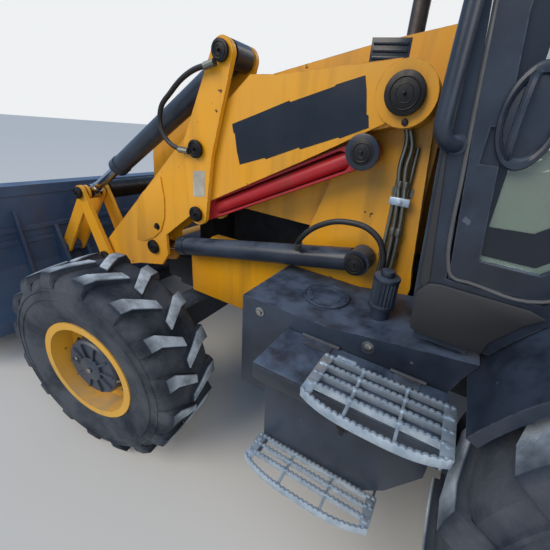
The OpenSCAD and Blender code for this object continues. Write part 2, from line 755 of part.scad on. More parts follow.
module arm_core() {
    n = side(unit(shovel_pin - tip_lever_pin)) * 80;
    polygon([[1060, 1645], [1018, 1700], [1018, 1755], [1065, 1802], [1130, 1812],
        [1560, 1752], [1680, 1748], [1850, 1600], [1990, 1530], [2340, 1195],
        tip_lever_pin + n, shovel_pin + n, shovel_pin - n, tip_lever_pin - n,
        [2500, 860], [2330, 1090], [2060, 1215], [1930, 1310], [1740, 1440]]);
    translate(shovel_pin) circle(r = 80);
}

module loader_arms() color(lug_yellow) at_rear() {
    both_sides() difference() {
        union() {
            plate(arm_in, arm_in + arm_plate) arm_outline();
            plate(arm_out - arm_plate, arm_out) arm_outline();
            plate(arm_in + arm_plate - 1, arm_out - arm_plate + 1) arm_core();
            cross_bar(arm_pin, 95, arm_in, arm_out + 8);
            for (y = [arm_in + 1, arm_out - 21]) cross_bar(lift_rod_pin, 48, y, y + 20);
        }
        cross_bar(arm_pin, pin_r + 8 + pin_fit, arm_in - 1, arm_out + 20);
        for (p = [lever_pin, tip_lever_pin, shovel_pin])
            cross_bar(p, pin_r + pin_fit, arm_in - 1, arm_out + 1);
    }
    cross_bar([2560, 760], 60, -arm_in - 2, arm_in + 2);
}

module levelling_levers() color(lug_yellow) at_rear() both_sides() {
    for (y = [lever_in, lever_out]) plate(y[0], y[1]) {
        strap(crowd_base, lever_pin, 50, 82);
        strap(lever_pin, lever_foot, 82, 52);
    }
    for (p = [crowd_base, lever_pin])
        cross_bar(p, pin_r, lever_in[0] - 4, lever_out[1] + 6);
    cross_bar(lever_foot, pin_r, lever_in[0] - 4, lever_in[1] + 6);
    cross_bar(lever_foot, pin_r, lever_out[0] - 6, lever_out[1] + 6);
}

module levelling_links() color("crimson") at_rear() both_sides() {
    difference() {
        plate(arm_mid - 34, arm_mid + 34) strap(link_pin, lever_foot, 45, 42);
        plate(arm_mid - 26, arm_mid + 35)
            strap(link_pin + unit(lever_foot - link_pin) * 95,
                lever_foot - unit(lever_foot - link_pin) * 95, 36, 33);
        cross_bar(link_pin, pin_r + pin_fit, arm_mid - 40, arm_mid + 40);
    }
    bar_along(link_pin, lever_foot, arm_mid + 2, 30, 60, norm(lever_foot - link_pin) - 60);
}

lift_len = 1010;
crowd_len = 985;

module lift_barrels() color("#202030") at_rear() both_sides()
    barrel(lift_base, lift_rod_pin, arm_mid, lift_r, lift_len, 52, pin_r + pin_fit, 46,
        rod_r + rod_fit);

module lift_rods() color("silver") at_rear() both_sides()
    rod(lift_base, lift_rod_pin, arm_mid, rod_r, 1090, 45, 20);

module crowd_barrels() color("#202030") at_rear() both_sides()
    barrel(crowd_base, tip_pin, arm_mid, crowd_r, crowd_len, 50, pin_r + pin_fit, 48,
        rod_r + rod_fit);

module crowd_rods() color("silver") at_rear() both_sides()
    rod(crowd_base, tip_pin, arm_mid, rod_r, 990, 42, 18);

module tipping_levers() color(lug_yellow) at_rear() both_sides()
    for (y = [lever_in, lever_out]) difference() {
        plate(y[0], y[1]) strap(tip_lever_pin, tip_pin, 55, 42);
        for (p = [tip_lever_pin, tip_pin]) cross_bar(p, pin_r + pin_fit, y[0] - 1, y[1] + 1);
    }

link_in = [arm_mid - 50, arm_mid - 34];
link_out = [arm_mid + 34, arm_mid + 50];

module tipping_links() color(lug_yellow) at_rear() both_sides()
    for (y = [link_in, link_out]) difference() {
        plate(y[0], y[1]) strap(tip_pin, ear_pin, 40, 42);
        cross_bar(tip_pin, pin_r + pin_fit, y[0] - 1, y[1] + 1);
        cross_bar(ear_pin, pin_r + 1, y[0] - 1, y[1] + 1);
    }

// A pin through the plates of both sides, and the tube that ties the two sides together
module tied_pins(p, r) {
    both_sides() cross_bar(p, pin_r, lever_in[0] - 7, lever_out[1] + 6);
    cross_bar(p, r, 6 - lever_in[0], lever_in[0] - 6);
}

module tipping_pins() color("gray") at_rear() tied_pins(tip_lever_pin, tie_r);

module tipping_link_pins() color("gray") at_rear() {
    both_sides() {
        cross_bar(tip_pin, pin_r, lever_in[0] - 7, link_in[1] + 1);
        cross_bar(tip_pin, pin_r, link_out[0] - 1, lever_out[1] + 6);
    }
    cross_bar(tip_pin, 56, 6 - lever_in[0], lever_in[0] - 6);
}

module shovel_pins() color("gray") at_rear() tied_pins(shovel_pin, tie_r);

shovel_half = shovel_w / 2;
wall_points = [[233, shovel_rise], [223, 285], [120, -30], [150, -120], [230, -shovel_drop],
    [shovel_reach, -shovel_drop]];

// The shovel's floor and back as one bent band
module shovel_band(t) {
    p = [for (w = wall_points) shovel_pin + w];
    inner = [[t, 0], [t, 0], [t, 5], [t, t], [0, t], [0, t]];
    polygon(concat(p, [for (i = [5 : -1 : 0]) p[i] + inner[i]]));
}

module shovel_side() {
    p = [for (w = wall_points) shovel_pin + w];
    polygon(concat(p, [shovel_pin + [shovel_reach - 60, -shovel_drop + 120],
        shovel_pin + [330, shovel_rise]]));
}

// The space behind the shovel's back, which its ears may fill
module behind_wall() {
    polygon(concat([for (i = [0 : 4]) shovel_pin + wall_points[i] + [shovel_plate / 2, 0]],
        [shovel_pin + [-300, -shovel_drop], shovel_pin + [-300, shovel_rise]]));
}

module shovel() color("#26303c") at_rear() {
    difference() {
        union() {
            plate(-shovel_half, shovel_half) shovel_band(shovel_plate);
            both_sides() plate(shovel_half - shovel_plate, shovel_half) shovel_side();
            block([shovel_pin[0] + shovel_reach - 150, -shovel_half, shovel_pin[1] - shovel_drop],
                [shovel_pin[0] + shovel_reach + 50, shovel_half, shovel_pin[1] - shovel_drop + 25]);
            block([shovel_pin[0] + 224, -shovel_half, shovel_pin[1] + shovel_rise - 60],
                [shovel_pin[0] + 330, shovel_half, shovel_pin[1] + shovel_rise]);
        }
        for (i = [-3 : 3]) translate([shovel_pin[0] + shovel_reach + 10, i * 340, 0])
            cylinder(r = edge_hole_r, h = 400);
    }
    both_sides() {
        for (y = [lever_in, lever_out]) difference() {
            plate(y[0], y[1]) intersection() {
                union() {
                    strap(shovel_pin, shovel_pin + [180, 10], 60, 100);
                    polygon([shovel_pin + [125, 0], shovel_pin + [228, 285],
                        shovel_pin + [228, 520], shovel_pin + [190, 520], shovel_pin + [20, 55]]);
                }
                behind_wall();
            }
            cross_bar(shovel_pin, pin_r + pin_fit, y[0] - 1, y[1] + 1);
        }
        plate(arm_mid - 20, arm_mid + 20) intersection() {
            strap(ear_pin, ear_pin + [62, -10], 40, 60);
            behind_wall();
        }
        cross_bar(ear_pin, pin_r, link_in[0] - 4, link_out[1] + 4);
        for (y = [760, 1010]) plate(y, y + 14) polygon([shovel_pin + [235, 640],
            shovel_pin + [195, 640], shovel_pin + [150, 200], shovel_pin + [195, 200]]);
    }
    for (z = [430, 510]) block([shovel_pin[0] + 213, -shovel_half + 40, shovel_pin[1] + z],
        [shovel_pin[0] + 230, shovel_half - 40, shovel_pin[1] + z + 26]);
}

// Rear frame and digging arm

frame_rear = -1060;
rail_zs = [545, 1155];

module backhoe_frame() color("#2b2b2e") at_rear() {
    difference() {
        union() {
            for (z = rail_zs) block([frame_rear, -leg_y, z - frame_rail],
                [-960, leg_y, z + frame_rail]);
            both_sides() {
                block([frame_rear, 290, 500], [-945, 410, 1110]);
                block([-1010 - leg_tube / 2, leg_y - leg_tube / 2, 430],
                    [-1010 + leg_tube / 2, leg_y + leg_tube / 2, 1270]);
            }
        }
        both_sides() block([-1010 - 45, leg_y - 45, 400], [-1010 + 45, leg_y + 45, 1300]);
        for (y = [-700, 700]) translate([-1010, y, 400]) cylinder(r = 22, h = 900);
    }
}

module leg() {
    translate([-1010, leg_y, 0]) {
        translate([-44.5, -44.5, 372]) cube([89, 89, 868]);
        translate([-foot_w / 2 + 30, -55, 360]) cube([foot_w - 60, 170, 24]);
    }
}

module stabiliser_left() color("#2b2b2e") at_rear() leg();
module stabiliser_right() color("#2b2b2e") at_rear() mirror([0, 1, 0]) leg();

lug_zs = [480, 745];

module carriage() color("#2b2b2e") at_rear() difference() {
    face = frame_rear - seat_gap;
    union() {
        block([face - 40, -330, 470], [face, 330, 1236]);
        block([face - 40, -330, 1200 + seat_gap], [-930, 330, 1236]);
        block([-960 + seat_gap, -330, 1130], [-930, 330, 1236]);
        for (z = lug_zs) {
            block([slew_x, -85, z], [face - 39, 85, z + 60]);
            translate([slew_x, 0, z]) cylinder(r = 85, h = 60);
        }
        both_sides() block([face - 95, 84, 480], [face - 39, 110, 1100]);
    }
    translate([slew_x, 0, 400]) cylinder(r = 50 + pin_fit, h = 500);
}

module kingpost() color(lug_yellow) at_rear() {
    difference() {
        union() {
            translate([slew_x, 0, 546]) cylinder(r = 84, h = 193);
            translate([slew_x, 0, 440]) cylinder(r = 50, h = 400);
            plate(-90, 90) polygon([[slew_x - 20, 560], [boom_foot[0], 592],
                [boom_foot[0], 728], [slew_x - 20, 735]]);
            cross_bar(boom_foot, 68, -90, 90);
            translate([slew_x, 0, 811]) cylinder(r = 80, h = 40);
            plate(-80, 80) polygon([[-1420, 811], [-1250, 811], [-1240, 1000], [-1370, 1000],
                [-1420, 870]]);
            cross_bar(boom_ram_base, 55, -80, 80);
        }
        block([-1440, -50, 862], [-1200, 50, 1100]);
        cross_bar(boom_foot, 35 + pin_fit, -100, 100);
    }
    cross_bar(boom_ram_base, 30, -81, 81);
}

module boom_outline() {
    polygon([[-1640, 1040], [-1665, 1400], [-1630, 2050], [-1540, 2560], [-1440, 2900],
        [-1250, 2900], [-1330, 2500], [-1400, 2000], [-1445, 1400], [-1455, 1040]]);
}

module boom() color(lug_yellow) at_rear() {
    difference() {
        union() {
            plate(-boom_half, boom_half) boom_outline();
            for (y = [-boom_half, 96]) plate(y, y + boom_half - 96) {
                strap(boom_foot, [-1543, 1060], 95, 95);
            }
            for (y = [-boom_half, dipper_half + 6]) plate(y, y + boom_half - dipper_half - 6)
                strap([-1345, 2850], boom_top, 96, 80);
            for (y = [-78, 52]) plate(y, y + 26) {
                strap([-1450, 1880], boom_ram_pin, 90, 50);
                strap([-1400, 2130], dipper_ram_base, 90, 50);
            }
        }
        block([-1485, -50, 1300], [-1300, 50, 1965]);
    }
    cross_bar(boom_foot, 35, -boom_half - 8, boom_half + 8);
    cross_bar(dipper_ram_base, 30, -84, 84);
    for (s = [0, 1]) mirror([0, s, 0]) cross_bar(boom_ram_pin, 30, 49, 84);
    cross_bar(boom_top, 35, -boom_half - 8, boom_half + 8);
}

module dipper_outline() {
    strap(boom_top, dipper_heel, 78, 50);
    polygon([[-1130, 3355], [-1230, 3345], [-1480, 3150], [-1660, 2780], [-1895, 1750],
        [-1900, 1600], [-1800, 1600], [-1780, 1760], [-1570, 2620], [-1450, 2970],
        [-1180, 3212], [-1100, 3260]]);
    translate(bucket_pin) circle(r = 62);
    strap([-1570, 2860], bucket_ram_base, 85, 48);
}

heel_turn = atan2(dipper_heel[1] - boom_top[1], dipper_heel[0] - boom_top[0]);

module dipper() color(lug_yellow) at_rear() {
    difference() {
        plate(-dipper_half, dipper_half) dipper_outline();
        for (p = [boom_top, bucket_pin]) cross_bar(p, 35 + pin_fit, -200, 200);
        plate(-46, 46) {
            translate(boom_top) rotate(heel_turn) translate([234, -130]) square([300, 260]);
            strap(bucket_ram_base, bucket_ram_base + [-60, 60], 56, 60);
            strap(bucket_ram_base,
                bucket_ram_base + (bucket_ram_pin - bucket_ram_base) * 0.25, 56, 54);
        }
    }
    cross_bar(bucket_lever_pin, 32, -dipper_half - 32, dipper_half + 32);
    cross_bar(bucket_ram_base, 28, -dipper_half, dipper_half);
    for (s = [0, 1]) mirror([0, s, 0]) cross_bar(dipper_heel, 28, 47, 86);
}

module bucket_lever() color(lug_yellow) at_rear() {
    for (y = [-dipper_half - 28, dipper_half + 6]) difference() {
        plate(y, y + 22) strap(bucket_lever_pin, bucket_ram_pin, 55, 48);
        cross_bar(bucket_lever_pin, 32 + pin_fit, y - 1, y + 23);
    }
    for (s = [0, 1]) mirror([0, s, 0])
        cross_bar(bucket_ram_pin, 28, 47, dipper_half + 29);
}

module bucket_link() color(lug_yellow) at_rear() {
    for (y = [-dipper_half + 2, dipper_half - 22]) difference() {
        plate(y, y + 20) strap(bucket_ram_pin, bucket_ear, 46, 44);
        cross_bar(bucket_ram_pin, 28 + pin_fit, y - 1, y + 21);
    }
    cross_bar(bucket_ear, 40, -dipper_half + 3, dipper_half - 3);
}

// Bucket shell from its hinge: [along, up], from the top lip round the back to the teeth
bucket_shape = [[30, -165], [-120, -150], [-260, -205], [-345, -330], [-360, -480],
    [-290, -625], [-160, -720], [20, -785]];

module dig_bucket() color("#2a2c30") at_rear() {
    p = [for (b = bucket_shape) bucket_pin + b];
    n = len(p);
    middle = bucket_pin + [-60, -440];
    inner = [for (i = [n - 1 : -1 : 0]) p[i] + unit(middle - p[i]) * 20];
    half = bucket_w / 2;
    difference() {
        union() {
            plate(-half, half) polygon(concat(p, inner));
            both_sides() plate(half - 16, half) polygon(p);
            for (y = [-dipper_half - 28, dipper_half + 6]) plate(y, y + 22) {
                strap(bucket_pin, bucket_ear, 60, 48);
                polygon([bucket_pin + [60, 0], bucket_ear + [-45, -15],
                    bucket_pin + [-250, -205], bucket_pin + [-120, -160],
                    bucket_pin + [25, -172]]);
            }
        }
        cross_bar(bucket_pin, 35 + pin_fit, -dipper_half - 40, dipper_half + 40);
    }
    cross_bar(bucket_pin, 35, -dipper_half - 34, dipper_half + 34);
    for (s = [0, 1]) mirror([0, s, 0]) cross_bar(bucket_ear, 28, dipper_half + 1, dipper_half + 29);
    for (i = [0 : bucket_teeth - 1]) {
        y = -half + 30 + i * (bucket_w - 60) / (bucket_teeth - 1);
        plate(y - 25, y + 25) polygon([p[n - 1] + [-90, 50], p[n - 1] + [-60, 15],
            p[n - 1] + [90, -50], p[n - 1] + [5, 32]]);
    }
}

module boom_ram_barrel() color("#202030") at_rear()
    barrel(boom_ram_base, boom_ram_pin, 0, 45, 811, 45, 30 + pin_fit, 44, rod_r + rod_fit);
module boom_ram_rod() color("silver") at_rear()
    rod(boom_ram_base, boom_ram_pin, 0, rod_r, 870, 45, 42);
module dipper_ram_barrel() color("#202030") at_rear()
    barrel(dipper_ram_base, dipper_heel, 0, 44, 720, 45, 30 + pin_fit, 46, rod_r + rod_fit);
module dipper_ram_rod() color("silver") at_rear()
    rod(dipper_ram_base, dipper_heel, 0, rod_r, 793, 42, 40);
module bucket_ram_barrel() color("#202030") at_rear()
    barrel(bucket_ram_base, bucket_ram_pin, 0, 42, 740, 44, 28 + pin_fit, 42, rod_r + rod_fit);
module bucket_ram_rod() color("silver") at_rear()
    rod(bucket_ram_base, bucket_ram_pin, 0, rod_r, 800, 40, 40);

chassis_frame();
loader_towers();
front_axle();
rear_axle();
engine_block();
exhaust_stack();
cab_frame();
cab_roof();
cab_glass();
cab_interior();
rear_fenders();
side_tanks();
toolboxes();
backhoe_frame();
loader_pipes();
bonnet();
door_left();
door_right();
door_glass_left();
door_glass_right();
toolbox_lid();
seat();
knuckle_left();
knuckle_right();
front_tyre_left();
front_tyre_right();
front_rim_left();
front_rim_right();
rear_tyre_left();
rear_tyre_right();
rear_rim_left();
rear_rim_right();
loader_arms();
levelling_levers();
levelling_links();
lift_barrels();
lift_rods();
crowd_barrels();
crowd_rods();
tipping_levers();
tipping_links();
tipping_pins();
tipping_link_pins();
shovel_pins();
shovel();
carriage();
kingpost();
boom();
dipper();
dig_bucket();
bucket_lever();
bucket_link();
boom_ram_barrel();
boom_ram_rod();
dipper_ram_barrel();
dipper_ram_rod();
bucket_ram_barrel();
bucket_ram_rod();
stabiliser_left();
stabiliser_right();
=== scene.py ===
# %% [markdown]
# A backhoe loader, dressed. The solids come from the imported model: every body, pin and plate is
# already there at its real size. This script gives them paint, rubber and glass, and adds what is
# too fine for the solids, such as bolts, hoses, treads, pin caps and cushions.

# %% Load the frame
import math

import bmesh
import bpy
from mathutils import Matrix, Vector


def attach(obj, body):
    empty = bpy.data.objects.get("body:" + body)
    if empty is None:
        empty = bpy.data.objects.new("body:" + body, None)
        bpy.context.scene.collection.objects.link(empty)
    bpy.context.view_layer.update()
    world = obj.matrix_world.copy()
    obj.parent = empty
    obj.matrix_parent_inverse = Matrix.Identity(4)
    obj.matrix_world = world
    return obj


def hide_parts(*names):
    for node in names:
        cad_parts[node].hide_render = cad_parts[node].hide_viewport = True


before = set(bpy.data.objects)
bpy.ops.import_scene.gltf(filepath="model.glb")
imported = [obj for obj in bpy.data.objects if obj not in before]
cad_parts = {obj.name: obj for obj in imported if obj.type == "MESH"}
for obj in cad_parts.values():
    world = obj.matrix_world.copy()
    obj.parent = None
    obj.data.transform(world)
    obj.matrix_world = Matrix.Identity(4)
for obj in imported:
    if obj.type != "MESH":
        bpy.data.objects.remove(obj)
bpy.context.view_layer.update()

# %% [markdown]
# Places are given as on a side drawing of the machine: millimetres forward from the rear axle,
# out to the left from the middle, and up from the ground. One function turns them to metres in
# the frame, where the rear axle stands a little behind the middle of the machine.

# %% Places
REAR_AXLE = -805


def spot(along, across, up):
    return Vector(((along + REAR_AXLE) / 1000, across / 1000, up / 1000))


ARM_PIVOT, LINK_PIVOT, LIFT_BASE = (1097, 1717), (1201, 1536), (1157, 1130)
LIFT_ROD_PIN, LEVER_PIVOT, CROWD_BASE = (2308, 890), (1930, 1453), (1789, 1812)
LEVER_FOOT, SHOVEL_HINGE, TIP_PIN = (1943, 1163), (3067, 275), (2885, 1085)
TIP_LEVER_PIN = (2722, 720)
FRONT_WHEEL, REAR_WHEEL = (2170, 940, 485), (0, 905, 715)
STEER = 6  # degrees to the left, about the kingpin
KINGPIN = (2170, 770)
# end, wheel, tyre's radius, tyre's width, rim's radius, lugs' depth, degrees it is turned
WHEELS = (("front", FRONT_WHEEL, 485, 310, 229, 30, STEER),
          ("rear", REAR_WHEEL, 715, 430, 356, 30, 0))
# How far out from the middle the outer face of a thing is
ARM_FACE, LEVER_FACE, PIN_FACE, CAB_FACE = 555, 582, 587, 785
TANK_FACE, BOX_FACE, BONNET_FACE = 800, 1000, 383

# %% [markdown]
# The photograph was taken standing by the cab door with a wide lens, looking forward and down.
# Its place and turn were worked out from where the pins and wheels stand in the picture.

# %% Camera
camera_data = bpy.data.cameras.new("camera")
PICTURE = 550  # pixels, wide and high
FOCAL = 303.72  # pixels
CENTRE = (313.89, 260.64)  # the pixel that the lens looks straight at
camera_data.sensor_width = 36
camera_data.lens = FOCAL / PICTURE * camera_data.sensor_width
camera_data.shift_x = -(CENTRE[0] - PICTURE / 2) / PICTURE
camera_data.shift_y = (CENTRE[1] - PICTURE / 2) / PICTURE
camera_data.clip_start = 0.02
camera = bpy.data.objects.new("camera", camera_data)
bpy.context.scene.collection.objects.link(camera)
camera_right = Vector((-0.8902, -0.4412, 0.1134))
camera_down = Vector((-0.2710, 0.3127, -0.9104))
camera_ahead = Vector((0.3662, -0.8412, -0.3979))
camera_turn = Matrix((camera_right, -camera_down, -camera_ahead)).transposed().to_4x4()
camera.matrix_world = Matrix.Translation((0.8721 + REAR_AXLE / 1000, 1.6128, 1.5929)) @ camera_turn
bpy.context.scene.camera = camera
bpy.context.scene.view_settings.view_transform = "Standard"

# %% [markdown]
# A finish is a small tree of nodes. One function adds a node, sets it and links it, so each
# finish reads as a list of what the surface is made of.

# %% Node helper


def linear(colour):
    """An sRGB hex colour as linear RGBA."""
    parts = [int(colour[i:i + 2], 16) / 255 for i in (0, 2, 4)]
    return [p / 12.92 if p <= 0.04045 else ((p + 0.055) / 1.055) ** 2.4 for p in parts] + [1]


def add(tree, kind, inputs=None, **settings):
    """Adds a node. Inputs are values, or sockets to link from."""
    node = tree.nodes.new(kind)
    for key, value in settings.items():
        setattr(node, key, value)
    for key, value in (inputs or {}).items():
        if isinstance(value, bpy.types.NodeSocket):
            tree.links.new(value, node.inputs[key])
        else:
            node.inputs[key].default_value = value
    return node


def start_finish(name):
    """A new material with its tree, shader and object coordinates."""
    material = bpy.data.materials.new(name)
    material.use_nodes = True
    tree = material.node_tree
    place = add(tree, "ShaderNodeTexCoord").outputs["Object"]
    return material, tree, tree.nodes["Principled BSDF"], place


def speckle(tree, place, size_mm, low, high, detail=4, stretch=(1, 1, 1), shift=(0, 0, 0)):
    """Noise whose patches are about size_mm across, cut to 0 under low and 1 over high."""
    turned = add(tree, "ShaderNodeMapping", {"Vector": place, "Scale": stretch, "Location": shift})
    noise = add(tree, "ShaderNodeTexNoise", {"Vector": turned.outputs[0],
                "Scale": 500 / size_mm, "Detail": detail, "Roughness": 0.6})
    return add(tree, "ShaderNodeMapRange", {"Value": noise.outputs["Fac"],
               "From Min": low, "From Max": high}).outputs[0]


def blend_colour(tree, amount, under, over):
    """Colour over covers colour under by amount. Each is a hex colour or a socket."""
    mix = add(tree, "ShaderNodeMix", data_type="RGBA")
    for key, value in ((0, amount), (6, under), (7, over)):
        if isinstance(value, str):
            mix.inputs[key].default_value = linear(value)
        elif isinstance(value, bpy.types.NodeSocket):
            tree.links.new(value, mix.inputs[key])
        else:
            mix.inputs[key].default_value = value
    return mix.outputs[2]


def times(tree, a, b, operation="MULTIPLY"):
    return add(tree, "ShaderNodeMath", {0: a, 1: b}, operation=operation).outputs[0]


def span(tree, value, low, high, to_low=0.0, to_high=1.0):
    return add(tree, "ShaderNodeMapRange", {"Value": value, "From Min": low, "From Max": high,
               "To Min": to_low, "To Max": to_high}).outputs[0]


def facing_up(tree):
    """1 where a surface faces the sky and 0 where it is upright or faces down."""
    normal = add(tree, "ShaderNodeNewGeometry").outputs["Normal"]
    return span(tree, add(tree, "ShaderNodeSeparateXYZ", {0: normal}).outputs[2], 0.3, 0.95)


def worn_edges(tree, width_mm):
    """1 along sharp edges: there a rounded normal differs from the true one."""
    rounded = add(tree, "ShaderNodeBevel", {"Radius": width_mm / 1000}, samples=3).outputs[0]
    true = add(tree, "ShaderNodeNewGeometry").outputs["Normal"]
    same = add(tree, "ShaderNodeVectorMath", {0: rounded, 1: true}, operation="DOT_PRODUCT")
    return span(tree, same.outputs["Value"], 0.97, 0.80)


def bump(tree, shader, height, depth_mm):
    node = add(tree, "ShaderNodeBump", {"Height": height, "Distance": depth_mm / 1000,
               "Strength": 1.0})
    tree.links.new(node.outputs[0], shader.inputs["Normal"])


# %% [markdown]
# Most of the machine is painted steel: sprayed enamel, thick and a little uneven like orange
# peel. On a working machine it fades in patches, holds pale dust where it lies flat, runs with
# grime down upright faces, and chips to dark primer and rust along its edges. The pale colour on
# faces that look up is also a painted highlight, the sky's light on the tops: beige on yellow
# paint and blue-grey on black.

# %% Painted steel


def enamel(name, colour, shade, upward_tint, chip, dust_and_highlight_share, chipped, rough, grime="4a3a22"):
    material, tree, shader, place = start_finish(name)
    patches = speckle(tree, place, 420, 0.35, 0.7)
    base = blend_colour(tree, times(tree, patches, 0.8), colour, shade)
    streaks = speckle(tree, place, 60, 0.52, 0.75, stretch=(1, 1, 0.08))
    base = blend_colour(tree, times(tree, streaks, 0.35), base, grime)
    # Upward faces get a pale colour that is partly dust and partly a painted highlight of the sky's
    # light.
    flat = times(tree, facing_up(tree), dust_and_highlight_share)
    film = times(tree, speckle(tree, place, 150, 0.3, 0.75, 8), dust_and_highlight_share * 0.45)
    dust_and_highlight_on_tops = times(tree, flat, speckle(tree, place, 45, 0.25, 0.6))
    dust_and_highlight_amount = times(tree, dust_and_highlight_on_tops, film, "MAXIMUM")
    base = blend_colour(tree, dust_and_highlight_amount, base, upward_tint)
    ragged = speckle(tree, place, 14, 0.42, 0.55, 6)
    edges = times(tree, worn_edges(tree, 5), ragged)
    spots = speckle(tree, place, 26, 0.69, 0.71, 6, shift=(3, 1, 2))
    bare = times(tree, times(tree, edges, spots, "MAXIMUM"), chipped)
    base = blend_colour(tree, bare, base, chip)
    tree.links.new(base, shader.inputs["Base Color"])
    dull = times(tree, dust_and_highlight_amount, bare, "MAXIMUM")
    tree.links.new(span(tree, dull, 0, 1, rough, 0.85), shader.inputs["Roughness"])
    peel = speckle(tree, place, 5, 0.0, 1.0, 2)
    height = times(tree, times(tree, peel, 0.25), times(tree, bare, 0.6), "SUBTRACT")
    bump(tree, shader, height, 0.6)
    return material


# The fourth colour of each paint is its dust and also its painted highlight on upward faces.
amber = enamel("enamel_amber_yellow", "eaa40c", "d49009", "b09d74", "3a2418", 0.4, 0.9, 0.32)
rim_yellow = enamel("enamel_rim_yellow", "dda526", "bd8a16", "8f8a7c", "4a2c16", 0.6, 0.7, 0.5)
black_satin = enamel("enamel_black_satin", "151b27", "0c111a", "687c98", "5a6270", 0.5, 0.6, 0.32,
                     "22252b")
frame_grey = enamel("enamel_chassis_black", "191d25", "10141b", "5d6a7c", "5a4436", 0.6, 0.8, 0.55,
                    "2c2c2e")
ram_black = enamel("enamel_ram_black", "161c27", "0f131b", "67788f", "4c5058", 0.5, 0.5, 0.28,
                   "20232a")
strut_red = enamel("enamel_strut_red", "b8141f", "92101a", "7f6a68", "3a2620", 0.35, 0.8, 0.35)
shovel_blue = enamel("enamel_tool_blue_black", "2b4564", "1c2f48", "6a7f98", "6b4a3a", 0.5, 1.0,
                     0.42)
print("paints:", amber.name, rim_yellow.name, black_satin.name, frame_grey.name)

# %% [markdown]
# A tyre is black rubber with carbon in it: dull, almost no colour. The lugs' tops are scuffed pale
# where they meet the road, and dried mud stays in the grooves. How far a point is from the wheel's
# axle tells which of the two it is.

# %% Tyre rubber


def tyre_rubber(name, wheel, radius_mm, groove_mm, turn):
    material, tree, shader, place = start_finish(name)
    hub = spot(*wheel)
    offset = add(tree, "ShaderNodeVectorMath", {0: place, 1: hub}, operation="SUBTRACT").outputs[0]
    from_hub = add(tree, "ShaderNodeMapping", {"Vector": offset,
                   "Rotation": (0, 0, -math.radians(turn))}).outputs[0]
    in_plane = add(tree, "ShaderNodeVectorMath", {0: from_hub, 1: (1, 0, 1)},
                   operation="MULTIPLY").outputs[0]
    reach = add(tree, "ShaderNodeVectorMath", {0: in_plane}, operation="LENGTH").outputs["Value"]
    top = span(tree, reach, (radius_mm - 9) / 1000, (radius_mm - 1) / 1000)
    scuffed = times(tree, top, speckle(tree, place, 40, 0.2, 0.6, 6))
    groove = span(tree, reach, (radius_mm - 8) / 1000, (radius_mm - groove_mm) / 1000)
    mud = times(tree, times(tree, groove, 0.75), speckle(tree, place, 90, 0.35, 0.6, 8))
    side = times(tree, speckle(tree, place, 180, 0.4, 0.75, 8), 0.35)
    base = blend_colour(tree, side, "18202b", "3d4b5e")
    base = blend_colour(tree, mud, base, "50545a")
    base = blend_colour(tree, times(tree, scuffed, 0.95), base, "b9c6d1")
    tree.links.new(base, shader.inputs["Base Color"])
    shader.inputs["Roughness"].default_value = 0.82
    shader.inputs["Specular IOR Level"].default_value = 0.3
    cracks = speckle(tree, place, 8, 0.3, 0.7, 8)
    bump(tree, shader, cracks, 1.2)
    return material


tyre_finishes = {}
for end, wheel, radius, _, _, depth, turn in WHEELS:
    for tyre_side, sign in (("left", 1), ("right", -1)):
        arm = wheel[1] - KINGPIN[1]
        centre = (wheel[0] - sign * arm * math.sin(math.radians(turn)), sign * wheel[1], wheel[2])
        tyre_finishes[f"{end}_tyre_{tyre_side}"] = tyre_rubber(
            f"tyre_rubber_{end}_{tyre_side}", centre, radius, depth, turn)

# %% [markdown]
# The rest are plain metals, plastics, glass and cloth. Metal is metallic with its own tint, and
# its roughness says how it was finished: chromed rods are almost a mirror, hot-dip zinc shows
# large crystals, cast iron is dull.

# %% Metals, plastics and glass


def plain(name, colour, other, metallic, rough, patch_mm=120, grain_mm=3, grain_depth=0.15,
          patch=0.6, upward_tint=0.0, stretch=(1, 1, 1)):
    material, tree, shader, place = start_finish(name)
    base = blend_colour(tree, times(tree, speckle(tree, place, patch_mm, 0.35, 0.65, 6), patch),
                        colour, other)
    dusted = times(tree, facing_up(tree), upward_tint)
    base = blend_colour(tree, dusted, base, "7d8590")
    tree.links.new(base, shader.inputs["Base Color"])
    shader.inputs["Metallic"].default_value = metallic
    uneven = speckle(tree, place, patch_mm / 2, 0.3, 0.7)
    tree.links.new(span(tree, uneven, 0, 1, rough * 0.8, rough * 1.25), shader.inputs["Roughness"])
    bump(tree, shader, speckle(tree, place, grain_mm, 0, 1, 3, stretch), grain_depth)
    return material


rod_chrome = plain("chromed_rod_steel", "b9bbc0", "8d8578", 1.0, 0.14, 90, 4, 0.02, 0.4)
pin_steel = plain("greased_pin_steel", "3b3a3a", "1c1a18", 0.9, 0.42, 40, 4, 0.3)
zinc = plain("hot_dip_zinc", "c6d4e0", "99abba", 0.7, 0.45, 22, 6, 0.2, 0.9, 0.2)
pipe_zinc = plain("zinc_plated_pipe", "8f8f84", "6b665a", 0.9, 0.4, 60, 5, 0.1)
engine_iron = plain("cast_iron_engine", "2f3032", "1f1f20", 0.4, 0.7, 80, 4, 0.6, 0.7, 0.2)
exhaust_steel = plain("heat_stained_steel", "57504c", "382f2b", 0.8, 0.5, 70, 4, 0.3, 0.9)
hose_rubber = plain("hydraulic_hose_rubber", "131314", "232120", 0.0, 0.5, 60, 3, 0.25, 0.5, 0.2)
seal_rubber = plain("door_seal_rubber", "55575a", "3c3d40", 0.0, 0.55, 60, 3, 0.1)
roof_plastic = plain("moulded_roof_plastic", "1a1e27", "11151c", 0.0, 0.5, 300, 3, 0.35, 0.6, 0.35)
cab_plastic = plain("moulded_cab_plastic", "2b2c2e", "202123", 0.0, 0.55, 200, 2, 0.3, 0.6, 0.1)
